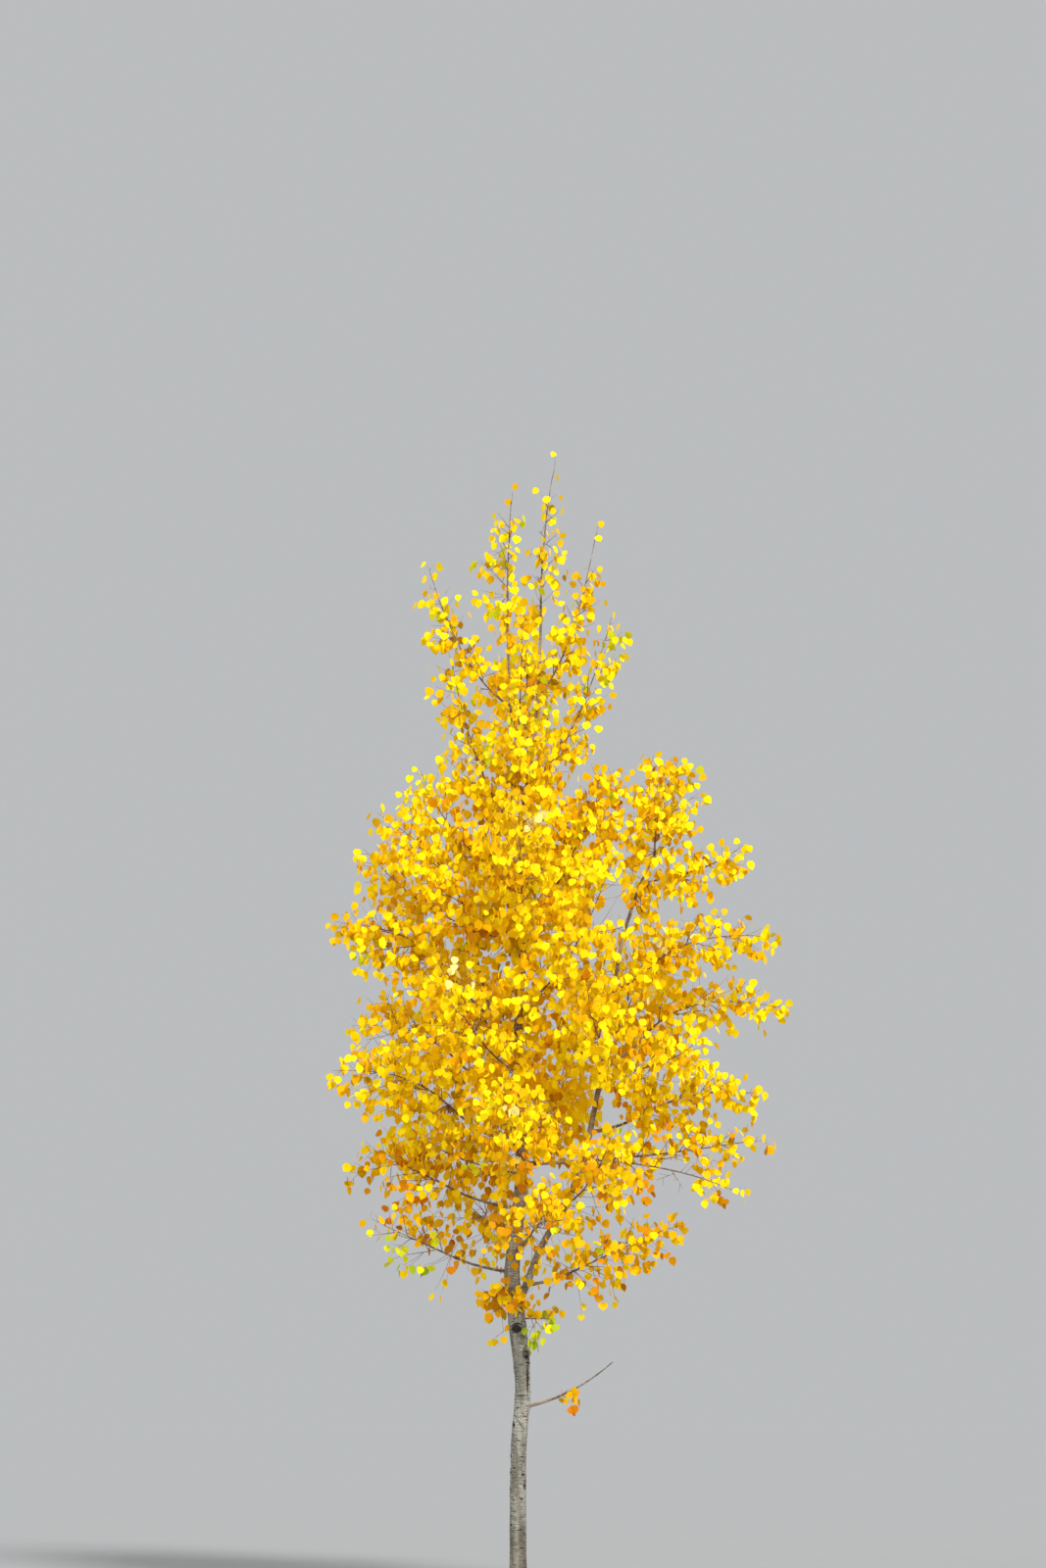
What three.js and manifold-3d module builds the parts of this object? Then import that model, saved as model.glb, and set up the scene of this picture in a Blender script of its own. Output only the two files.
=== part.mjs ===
// A young quaking aspen in autumn leaf, as a whole tree, in millimetres with +Z up.
//
// The origin is the middle of the flat cut under the trunk, at ground level, and +X is to the right
// in the front view, which looks along +Y. A tip is given by its bearing, its reach and its height:
// the bearing is an angle in plan from +X towards +Y, in degrees, and the reach is the distance in
// plan from the upright line through the origin. The trunk and its two stems are single limbs that
// follow their own sway. Boughs leave them and end where a mass of foliage takes over. A mass is one
// stem with shoots on it by a seeded rule, and the shoots carry blades, each of which stands for a
// spray of leaves. A mass keeps to the space that lies nearer its own stem than any other.
import * as THREE from "three";
import { ConvexGeometry } from "three/addons/geometries/ConvexGeometry.js";
import { mergeVertices } from "three/addons/utils/BufferGeometryUtils.js";
import Module from "manifold-3d";

// Clearances
const SEAT_GAP = 0.3; // between a limb or a stem and what carries it
const SPACE_GAP = 2; // between a blade's corners and the border of its mass's space
const LIMB_GAP = 14; // between a blade's corners and the surface of a limb
const TOUCH_GAP = 1; // between solids of two masses, or of a mass and a limb that does not carry it
const BLADE_GAP = 0.5; // between two blades of one mass
const FLAT_TOLERANCE = 0.1; // within which small facets count as one flat face
const WELD = 1e-3; // within which corners are the same

// Trunk: the sway of its centre line, and its radius, by height
const TRUNK_SWAY = [
  // height, x, y
  [0, 0, 0],
  [900, 3, 4],
  [1280, 28, 8],
  [1640, -2, 0],
  [1980, -37, -10],
  [2520, 16, 0],
  [3550, 3, 0],
  [4095, 38, -8],
  [4770, 27, 0],
  [5290, 100, 8],
  [5900, 138, 0],
  [6120, 142, 0],
];
const TRUNK_RADIUS = [
  // height, radius
  [0, 53],
  [1090, 47],
  [1400, 48.5],
  [1650, 56], // the swelling at an old branch scar
  [1900, 48],
  [2310, 43],
  [2770, 31],
  [4150, 22.5],
  [4770, 17],
  [5300, 11.5],
  [6120, 7.5],
];
const TRUNK_FOOT_RINGS = [0, 25, 60, 110, 190, 330, 600, 900, 1200, 1430, 1560, 1650, 1740];
const TRUNK_UPPER_RINGS = 20;
const TRUNK_SIDES = 12;
const FLARE_RADIUS = 26; // added at the ground by the root flare
const FLARE_HEIGHT = 70; // over which the flare dies away
const FLARE_LOBES = 4;
const FLARE_LOBE_SHARE = 0.45; // of the flare, that comes and goes between the lobes

// Side stem, which leaves the trunk low down and makes the right half of the crown
const SIDE_STEM_SWAY = [
  [1745, -18, 0],
  [1936, 62, 22],
  [2134, 140, 50],
  [2545, 360, 90],
  [3070, 490, 100],
  [3570, 575, 80],
  [4030, 647, 50],
  [4400, 766, 30],
  [4560, 850, 25],
];
const SIDE_STEM_RADIUS = [
  [1745, 27],
  [2134, 23],
  [2545, 20.5],
  [3070, 17],
  [3650, 14],
  [4560, 8.5],
];
const SIDE_STEM_RINGS = 18;
const SIDE_STEM_SIDES = 8;

// Second leader, to the left of the trunk's own
const LEFT_LEADER_SWAY = [
  [4440, 26, -8],
  [4560, 0, -16],
  [4776, -32, -24],
  [5317, -42, -20],
  [5942, -66, -10],
  [6180, -67, -6],
];
const LEFT_LEADER_RADIUS = [
  [4440, 11],
  [5317, 9.5],
  [6180, 6],
];
const LEFT_LEADER_RINGS = 10;
const LEFT_LEADER_SIDES = 6;

// Boughs: name, what carries it and at which height, the bearing, reach and height of its tip, its
// radius at the root and at the tip
const BOUGHS = [
  ["bare_bough", "trunk", 1155, -3, 585, 1435, 10, 3],
  ["low_right_bough", "side_stem", 1905, -10, 330, 1980, 10, 6.5],
  ["low_left_bough", "trunk", 1985, 187, 400, 2075, 10, 6.5],
  ["low_front_bough", "trunk", 2110, 281, 380, 2200, 10, 6.5],
  ["low_back_bough", "trunk", 2200, 110, 400, 2270, 10, 6.5],
  ["left_bough", "trunk", 2375, 170, 420, 2500, 10, 6.5],
  ["right_sweep_bough", "trunk", 2650, -12, 640, 2680, 13, 7.5],
  ["right_bough", "side_stem", 2850, 2, 780, 2960, 11, 7],
  ["right_rising_bough", "side_stem", 3270, 9, 800, 3450, 12, 7],
  ["right_high_bough", "side_stem", 3740, -6, 820, 3860, 9, 6],
  ["left_rising_bough", "trunk", 2760, 197, 430, 2990, 11, 7],
  ["left_middle_bough", "trunk", 3070, 166, 400, 3300, 11, 7],
  ["left_steep_bough", "trunk", 3240, 200, 310, 4080, 13, 7.5],
  ["left_high_bough", "trunk", 3480, 178, 400, 3800, 10, 6.5],
  ["right_upper_bough", "trunk", 4180, 2, 270, 4440, 10, 6.5],
];
const BOUGH_SIDES = 6;
const BOUGH_STEPS = 5;

// Masses of foliage: name, what carries it and where, the bearing, reach and height of its tip, how
// far it spreads from its stem at the root, how many shoots it has, and the share of its spread that
// its core takes. A stem carries a mass at a height, a bough at a share of its length, and either of
// them at its TIP. An OPEN mass has no core.
const TIP = null;
const OPEN = 0;
const LIGHT = 0.45;
const DENSE = 0.66;
const MASSES = [
  ["bare_bough_sprig", "bare_bough", 0.3, -12, 340, 1310, 110, 2, OPEN],
  ["skirt_front", "trunk", 1800, 238, 300, 1730, 240, 4, OPEN],
  ["skirt_right", "trunk", 1700, 318, 330, 1690, 210, 4, OPEN],
  ["low_right", "low_right_bough", TIP, -8, 1050, 2300, 290, 7, DENSE],
  ["low_left", "low_left_bough", TIP, 184, 960, 2330, 290, 7, DENSE],
  ["low_front", "low_front_bough", TIP, 285, 980, 2260, 360, 7, DENSE],
  ["low_back", "low_back_bough", TIP, 108, 1030, 2340, 360, 7, DENSE],
  ["left_lower", "left_bough", TIP, 174, 1035, 2760, 380, 7, DENSE],
  ["right_sweep", "right_sweep_bough", TIP, -6, 1571, 2805, 260, 7, DENSE],
  ["right_sweep_fork", "right_sweep_bough", 0.78, -17, 1440, 2442, 240, 4, OPEN],
  ["right", "right_bough", TIP, 4, 1556, 3080, 270, 7, DENSE],
  ["right_rising", "right_rising_bough", TIP, 9, 1704, 3625, 280, 6, LIGHT],
  ["right_inner", "side_stem", 3190, -26, 1290, 3400, 350, 7, DENSE],
  ["right_high", "right_high_bough", TIP, -5, 1600, 4050, 270, 6, LIGHT],
  ["right_upper_tip", "side_stem", 4400, 5, 1463, 4677, 220, 5, LIGHT],
  ["side_stem_top", "side_stem", TIP, 6, 1037, 5231, 360, 8, LIGHT],
  ["side_stem_front", "side_stem", 3350, 292, 1060, 3800, 380, 7, DENSE],
  ["side_stem_back", "side_stem", 3420, 44, 1200, 4300, 400, 7, DENSE],
  ["left_rising", "left_rising_bough", TIP, 195, 1199, 3211, 380, 7, DENSE],
  ["left_middle", "left_middle_bough", TIP, 167, 1115, 3520, 380, 7, DENSE],
  ["left_high", "left_high_bough", TIP, 180, 1169, 4160, 400, 7, DENSE],
  ["left_steep", "left_steep_bough", TIP, 193, 915, 4831, 340, 7, DENSE],
  ["left_upper", "trunk", 4010, 168, 1030, 4680, 340, 7, DENSE],
  ["front_lower", "trunk", 2700, 265, 1080, 3150, 410, 7, DENSE],
  ["back_lower", "trunk", 2840, 72, 1100, 3440, 410, 7, DENSE],
  ["front_right_lower", "side_stem", 2390, 306, 1010, 2880, 400, 7, DENSE],
  ["back_left_lower", "trunk", 2590, 134, 1060, 2960, 400, 7, DENSE],
  ["front_middle", "trunk", 3200, 242, 1060, 3900, 410, 7, DENSE],
  ["back_middle", "trunk", 3400, 118, 1080, 4100, 410, 7, DENSE],
  ["front_right", "trunk", 3600, 307, 1010, 4580, 410, 7, DENSE],
  ["right_upper", "right_upper_bough", TIP, 5, 620, 5170, 370, 7, DENSE],
  ["front_upper", "trunk", 4120, 270, 890, 4930, 420, 8, DENSE],
  ["back_upper", "trunk", 4200, 82, 910, 4830, 430, 8, DENSE],
  ["left_shoulder", "trunk", 4380, 186, 655, 5150, 330, 7, DENSE],
  ["left_crown", "left_leader", 4750, 176, 455, 5973, 320, 10, LIGHT],
  ["right_crown", "trunk", 5000, 3, 600, 6120, 240, 9, LIGHT],
  ["front_crown", "left_leader", 4850, 274, 490, 6120, 330, 10, LIGHT],
  ["back_crown", "trunk", 5050, 84, 500, 6180, 330, 10, LIGHT],
  ["left_spire", "left_leader", 5500, 177, 577, 6426, 230, 9, OPEN],
  ["right_spire", "trunk", 5560, 6, 510, 6700, 260, 9, OPEN],
  ["left_top", "left_leader", TIP, 190, 34, 6938, 270, 10, LIGHT],
  ["top", "trunk", TIP, 2, 237, 7100, 270, 10, LIGHT],
];

// How boughs and stems bend: their control point lies this share of the way out and of the way up to the tip.
const BEND_OUT = 0.55;
const BEND_UP = 0.2;
const FOLLOW_ON = 0.4; // share of its length over which a mass's stem runs on the way its bough points

// Twigs, all three-sided
const STEM_RADIUS = 7; // of a mass's stem at a trunk or stem that carries it
const STEM_TIP_RADIUS = 5;
const STEM_STEPS = 4;
const SHOOT_RADIUS = 6;
const SHOOT_TIP_RADIUS = 5;
const SHORTEST_SHOOT = 40;
const TWIG_SIDES = 3;

// The shoots of a mass
const FIRST_SEED = 101;
const SEED_STEP = 17;
const FIRST_SHOOT = 0.12; // along the stem
const LAST_SHOOT = 0.86;
const SHOOT_STRAY = 0.6; // share of the space between two shoots over which one may stray
const GOLDEN_TURN = THREE.MathUtils.degToRad(137.5); // from each shoot to the next, round the stem
const TURN_STRAY = 0.5; // in radians
const SHOOT_SLANT = THREE.MathUtils.degToRad(52); // from the stem
const UPWARD = 0.22; // how much a shoot turns up to the light
const TIP_NARROWING = 0.35; // how much shorter the shoots are at the stem's tip
const TOP_NARROWING = 0.75; // the same in a mass that tops the crown
const TOP_ABOVE = 6400; // a mass whose tip is higher tops the crown
const SHOOT_VARIETY = 0.15; // share by which shoots differ in slant and length
const BLADE_OVERLAP = 0.8; // of a blade's length, by which it makes its shoot shorter

// The blades of a shoot
const BLADES_AT = [0.6, 0.97]; // along a shoot, the last one for its end
const SIDE_BLADE_SLANT = THREE.MathUtils.degToRad(75);
const BLADE_SHARE = 0.9; // of its shoot's reach
const SHORTEST_BLADE = 125;
const LONGEST_BLADE = 380;
const LAST_BLADE_SHARE = 0.62; // of the mass's spread, for the blade at the stem's own tip
const SHORTEST_LAST_BLADE = 115;
const BLADE_VARIETY = 0.15; // share by which blades differ in length
const BLADE_LEAN = 0.6; // how far, in radians, a blade's plane may turn from the upright
const BLADE_OUTLINE = [
  // along the blade and across it, in blade lengths
  [0, 0],
  [0.42, 0.58],
  [0.95, 0.42],
  [0.95, -0.42],
  [0.42, -0.58],
];
const BLADE_REACH = 0.95; // the far edge of that outline
const BLADE_RIDGE = [0.3, 0.028]; // where along its length it is thickest, and how thick, in blade lengths
const BLADE_SINK = 2; // how far its root lies behind the twig's centre line
const ATTEMPTS = 4; // to fit a blade, each time turned and shortened
const SHORTENING = 0.12;

// The core of a dense mass: a lump along its stem, round its middle part
const CORE_STEPS = 4;
const CORE_SIDES = 5;
const CORE_FROM = 0.1; // along the stem
const CORE_TO = 0.92;
const CORE_END_RADIUS = 12;
const CORE_LUMPS = 3; // round it
const CORE_LUMP_SHARE = 0.2; // of its radius
const CORE_LUMP_TWIST = 9; // by which the lumps wind from end to end, in radians
const CORE_SIZES = [1, 0.9, 0.8, 0.7, 0.6, 0.5, 0.4]; // tried in turn until one is clear of its neighbours
const CORE_DRAW_IN = 0.85; // step by which a corner is drawn in to its own space

const PATH_STEPS = 10; // by which distances to a limb or stem are measured
const SEARCH = 2 * TOUCH_GAP;
const UP = new THREE.Vector3(0, 0, 1);
const LEVEL_X = new THREE.Vector3(1, 0, 0);
const NEARLY_UPRIGHT = 0.9;

const BARK = { color: 0xc4bdaa, roughness: 0.75, metalness: 0 };
const BOUGH_BARK = { color: 0x97866c, roughness: 0.75, metalness: 0 };
const FOLIAGE = { color: 0xf2b90c, roughness: 0.55, metalness: 0 };
const AMBER_FOLIAGE = { color: 0xe09a12, roughness: 0.55, metalness: 0 };
const LIME_FOLIAGE = { color: 0xd9d022, roughness: 0.55, metalness: 0 };
const AMBER_BELOW = 2700; // a mass whose tip is lower is amber
const LIME_ABOVE = 6000;

const wasm = await Module();
wasm.setup();

// Seeded random numbers from 0 to 1, the same on every run
function seeded(seed) {
  let state = seed >>> 0;
  return () => {
    state = (state + 0x6d2b79f5) >>> 0;
    let t = Math.imul(state ^ (state >>> 15), state | 1);
    t = (t + Math.imul(t ^ (t >>> 7), t | 61)) ^ t;
    return ((t ^ (t >>> 14)) >>> 0) / 4294967296;
  };
}

// The row of a list of rows that a height falls behind, and how far it lies on the way to the next one
function placeIn(rows, height) {
  const last = rows.length - 2;
  const k = Math.min(Math.max(rows.findIndex((row) => row[0] >= height) - 1, 0), last);
  const row = height > rows[last][0] ? last : k;
  const [from, to] = [rows[row][0], rows[row + 1][0]];
  return { row, share: THREE.MathUtils.clamp((height - from) / (to - from), 0, 1) };
}

// A radius read between the rows of [height, radius]
function between(rows, height) {
  const { row, share } = placeIn(rows, height);
  return THREE.MathUtils.lerp(rows[row][1], rows[row + 1][1], share);
}

// The centre of a stem at a height: a smooth line through the rows of [height, x, y]
function swayAt(rows, height) {
  const { row, share } = placeIn(rows, height);
  const slope = (k, column) => {
    const [before, after] = [rows[Math.max(k - 1, 0)], rows[Math.min(k + 1, rows.length - 1)]];
    return (after[column] - before[column]) / (after[0] - before[0]);
  };
  const span = rows[row + 1][0] - rows[row][0];
  const [s2, s3] = [share * share, share * share * share];
  const along = (column) =>
    (2 * s3 - 3 * s2 + 1) * rows[row][column] +
    (s3 - 2 * s2 + share) * span * slope(row, column) +
    (3 * s2 - 2 * s3) * rows[row + 1][column] +
    (s3 - s2) * span * slope(row + 1, column);
  return new THREE.Vector3(along(1), along(2), height);
}

// A point given by its bearing, reach and height
function tipPoint(bearing, reach, height) {
  const angle = THREE.MathUtils.degToRad(bearing);
  return new THREE.Vector3(reach * Math.cos(angle), reach * Math.sin(angle), height);
}

// The curve of a bough or stem from its root to its tip: first out, then up
function risingCurve(root, tip) {
  const bend = root.clone().lerp(tip, BEND_OUT);
  bend.z = THREE.MathUtils.lerp(root.z, tip.z, BEND_UP);
  return new THREE.QuadraticBezierCurve3(root, bend, tip);
}

// Numbers from one value to another in even steps
function evenly(from, to, steps) {
  return Array.from({ length: steps + 1 }, (_, i) => THREE.MathUtils.lerp(from, to, i / steps));
}

// A direction square to another one: level, unless the other is nearly upright
function squareTo(along) {
  const hint = Math.abs(along.z) > NEARLY_UPRIGHT ? LEVEL_X : UP;
  return new THREE.Vector3().crossVectors(along, hint).normalize();
}

// The rings of a limb, each with its centre, its share of the way and the two directions of its plane
function ringsOf(centres, directions) {
  let across = squareTo(directions[0]);
  return centres.map((centre, i) => {
    const along = directions[i];
    across = across.clone().addScaledVector(along, -across.dot(along)).normalize();
    const other = across.clone().cross(along);
    return { centre, across, other, share: i / (centres.length - 1) };
  });
}

function ringsAlong(curve, steps, from = 0, to = 1) {
  const shares = evenly(from, to, steps);
  const centres = shares.map((share) => curve.getPoint(share));
  return ringsOf(centres, shares.map((share) => curve.getTangent(share)));
}

// A closed limb: a cylinder whose rings are set on the given ones. radiusOf takes a ring and a turn round it.
function limbGeometry(rings, radiusOf, sides) {
  const steps = rings.length - 1;
  const geometry = new THREE.CylinderGeometry(1, 1, 1, sides, steps);
  const position = geometry.attributes.position;
  const point = new THREE.Vector3();
  for (let i = 0; i < position.count; i++) {
    point.fromBufferAttribute(position, i);
    const ring = rings[Math.round((point.y + 0.5) * steps)];
    const radius = radiusOf(ring, Math.atan2(point.z, point.x));
    const { x, z } = point;
    point.copy(ring.centre).addScaledVector(ring.across, x * radius);
    point.addScaledVector(ring.other, z * radius);
    position.setXYZ(i, point.x, point.y, point.z);
  }
  return geometry;
}

// A closed geometry as a solid
function solidOf(geometry) {
  const bare = geometry.index ? geometry.toNonIndexed() : geometry.clone();
  bare.deleteAttribute("normal");
  bare.deleteAttribute("uv");
  const welded = mergeVertices(bare, WELD);
  return new wasm.Manifold(
    new wasm.Mesh({
      numProp: 3,
      vertProperties: new Float32Array(welded.attributes.position.array),
      triVerts: new Uint32Array(welded.index.array),
    }),
  );
}

// A solid as a geometry
function geometryOf(solid) {
  const mesh = solid.getMesh();
  const geometry = new THREE.BufferGeometry();
  const position = new THREE.BufferAttribute(new Float32Array(mesh.vertProperties), mesh.numProp);
  geometry.setAttribute("position", position);
  geometry.setIndex(new THREE.BufferAttribute(new Uint32Array(mesh.triVerts), 1));
  geometry.computeVertexNormals();
  return geometry;
}

// The largest piece of a solid, which leaves out loose scraps and the walls of sealed hollows
function largestPiece(solid) {
  const pieces = solid.decompose().sort((a, b) => b.volume() - a.volume());
  return pieces[0].asOriginal().simplify(FLAT_TOLERANCE);
}

// Trunk, side stem and second leader
function flare(height, turn) {
  const lobes = 1 - FLARE_LOBE_SHARE * (0.5 - 0.5 * Math.cos(FLARE_LOBES * turn));
  return FLARE_RADIUS * Math.exp(-height / FLARE_HEIGHT) * lobes;
}

function stemLimb(name, sway, radii, heights, sides, extra = () => 0) {
  const rings = ringsOf(heights.map((height) => swayAt(sway, height)), heights.map(() => UP));
  const radiusOf = ({ centre }, turn) => between(radii, centre.z) + extra(centre.z, turn);
  const solidWith = (gap) =>
    solidOf(limbGeometry(rings, (ring, turn) => radiusOf(ring, turn) + gap, sides));
  const [from, to] = [heights[0], heights[heights.length - 1]];
  return {
    name,
    look: BARK,
    solid: solidWith(0),
    cutter: solidWith(SEAT_GAP),
    pointAt: (height) => swayAt(sway, height),
    end: swayAt(sway, to),
    endDirection: UP,
    radiusNear: (point) => between(radii, point.z),
    path: evenly(from, to, PATH_STEPS).map((height) => swayAt(sway, height)),
  };
}

// A bough, which is cut clear of what carries it
function boughLimb([name, carrier, rootHeight, bearing, reach, height, rootRadius, tipRadius]) {
  const parent = limbs.get(carrier);
  const curve = risingCurve(parent.pointAt(rootHeight), tipPoint(bearing, reach, height));
  const rings = ringsAlong(curve, BOUGH_STEPS);
  const radiusOf = ({ share }) => THREE.MathUtils.lerp(rootRadius, tipRadius, share);
  const solidWith = (gap) => solidOf(limbGeometry(rings, (ring) => radiusOf(ring) + gap, BOUGH_SIDES));
  return {
    name,
    look: BOUGH_BARK,
    solid: largestPiece(solidWith(0).subtract(parent.cutter)),
    cutter: solidWith(SEAT_GAP),
    pointAt: (share) => curve.getPoint(share),
    end: curve.getPoint(1),
    endDirection: curve.getTangent(1),
    radiusNear: () => tipRadius,
    path: curve.getPoints(PATH_STEPS),
  };
}

const limbs = new Map();
const addLimb = (limb) => limbs.set(limb.name, limb);

const upperFrom = TRUNK_FOOT_RINGS[TRUNK_FOOT_RINGS.length - 1];
const trunkTop = TRUNK_SWAY[TRUNK_SWAY.length - 1][0];
const trunkHeights = [...TRUNK_FOOT_RINGS, ...evenly(upperFrom, trunkTop, TRUNK_UPPER_RINGS).slice(1)];
addLimb(stemLimb("trunk", TRUNK_SWAY, TRUNK_RADIUS, trunkHeights, TRUNK_SIDES, flare));

function addSideLimb(name, sway, radii, steps, sides) {
  const heights = evenly(sway[0][0], sway[sway.length - 1][0], steps);
  const limb = stemLimb(name, sway, radii, heights, sides);
  limb.solid = largestPiece(limb.solid.subtract(limbs.get("trunk").cutter));
  addLimb(limb);
}
addSideLimb("side_stem", SIDE_STEM_SWAY, SIDE_STEM_RADIUS, SIDE_STEM_RINGS, SIDE_STEM_SIDES);
addSideLimb("left_leader", LEFT_LEADER_SWAY, LEFT_LEADER_RADIUS, LEFT_LEADER_RINGS, LEFT_LEADER_SIDES);
for (const row of BOUGHS) addLimb(boughLimb(row));
const allLimbs = [...limbs.values()];

// Where a mass's stem runs. It stops short of its tip by as much as the blade on its end adds.
function massOf([name, carrier, at, bearing, reach, height, spread, shoots, coreShare], index) {
  const parent = limbs.get(carrier);
  const tip = tipPoint(bearing, reach, height);
  let root = parent.end.clone().addScaledVector(parent.endDirection, SEAT_GAP);
  let bend = root.clone().addScaledVector(parent.endDirection, FOLLOW_ON * root.distanceTo(tip));
  let rootRadius = parent.radiusNear(root);
  if (at !== TIP) {
    root = parent.pointAt(at);
    bend = risingCurve(root, tip).v1;
    rootRadius = STEM_RADIUS;
  }
  const lastBlade = Math.max(spread * LAST_BLADE_SHARE, SHORTEST_LAST_BLADE);
  const onward = tip.clone().sub(bend).normalize();
  const stop = tip.clone().addScaledVector(onward, BLADE_SINK - BLADE_REACH * lastBlade);
  const curve = new THREE.QuadraticBezierCurve3(root, bend, stop);
  const radiusOf = ({ share }) => THREE.MathUtils.lerp(rootRadius, STEM_TIP_RADIUS, share);
  let stem = solidOf(limbGeometry(ringsAlong(curve, STEM_STEPS), radiusOf, TWIG_SIDES));
  if (at !== TIP) stem = largestPiece(stem.subtract(parent.cutter));
  const look = height < AMBER_BELOW ? AMBER_FOLIAGE : height > LIME_ABOVE ? LIME_FOLIAGE : FOLIAGE;
  return {
    name,
    look,
    curve,
    path: curve.getPoints(PATH_STEPS),
    solid: stem,
    cutter: at === TIP ? null : parent.cutter,
    spread,
    shoots,
    coreShare,
    narrowing: height > TOP_ABOVE ? TOP_NARROWING : TIP_NARROWING,
    lastBlade,
    draw: seeded(FIRST_SEED + SEED_STEP * index),
    turn: SEED_STEP * index,
  };
}
const masses = MASSES.map(massOf);

// The distance from a point to a path of straight steps
const step = new THREE.Line3();
const nearest = new THREE.Vector3();
function distanceTo(path, point) {
  let least = Infinity;
  for (let i = 1; i < path.length; i++) {
    step.set(path[i - 1], path[i]).closestPointToPoint(point, true, nearest);
    least = Math.min(least, nearest.distanceTo(point));
  }
  return least;
}

// Whether points lie in a mass's own space: nearer its stem than any other stem, and clear of every limb
function inOwnSpace(mass, points) {
  return points.every((point) => {
    const border = distanceTo(mass.path, point) + SPACE_GAP;
    if (masses.some((other) => other !== mass && distanceTo(other.path, point) <= border)) return false;
    return allLimbs.every((limb) => distanceTo(limb.path, point) > limb.radiusNear(point) + LIMB_GAP);
  });
}

// The corners of a blade, its root first
function bladeCorners({ root, along, length, turn }) {
  const side = squareTo(along).applyAxisAngle(along, turn);
  const up = new THREE.Vector3().crossVectors(side, along);
  const start = root.clone().addScaledVector(along, -BLADE_SINK);
  const corner = (far, wide, high) =>
    start
      .clone()
      .addScaledVector(along, far * length)
      .addScaledVector(side, wide * length)
      .addScaledVector(up, high * length);
  const [ridgeAt, thickness] = BLADE_RIDGE;
  return [...BLADE_OUTLINE.map(([far, wide]) => corner(far, wide, 0)), corner(ridgeAt, 0, thickness)];
}

// A blade that fits its mass's space, or null
function fitBlade(mass, blade, isClear) {
  for (let attempt = 0; attempt < ATTEMPTS; attempt++) {
    const turn = blade.turn + (attempt * Math.PI) / ATTEMPTS;
    const corners = bladeCorners({ ...blade, turn, length: blade.length * (1 - SHORTENING * attempt) });
    if (!inOwnSpace(mass, corners.slice(1))) continue;
    const solid = solidOf(new ConvexGeometry(corners));
    if (isClear(solid)) return solid;
  }
  return null;
}

// The core of a mass: a lump along its stem, each corner drawn in where it would leave the mass's own space
function coreOf(mass, isClear) {
  const rings = ringsAlong(mass.curve, CORE_STEPS, CORE_FROM, CORE_TO);
  for (const size of CORE_SIZES) {
    const radiusOf = (ring, turn) => {
      const { centre, across, other, share } = ring;
      if (share === 0 || share === 1) return CORE_END_RADIUS;
      const out = across.clone().multiplyScalar(Math.cos(turn));
      out.addScaledVector(other, Math.sin(turn));
      const lumps = 1 + CORE_LUMP_SHARE * Math.sin(CORE_LUMPS * turn + CORE_LUMP_TWIST * share);
      const fits = (trial) => inOwnSpace(mass, [centre.clone().addScaledVector(out, trial)]);
      let radius = size * mass.coreShare * mass.spread * (1 - mass.narrowing * share) * lumps;
      while (radius > CORE_END_RADIUS && !fits(radius)) radius *= CORE_DRAW_IN;
      return radius;
    };
    const solid = solidOf(limbGeometry(rings, radiusOf, CORE_SIDES));
    if (isClear(solid)) return solid;
  }
  return null;
}

// A number that varies by a share to either side of 1
const vary = (draw, share) => 1 + share * (2 * draw() - 1);

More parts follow.
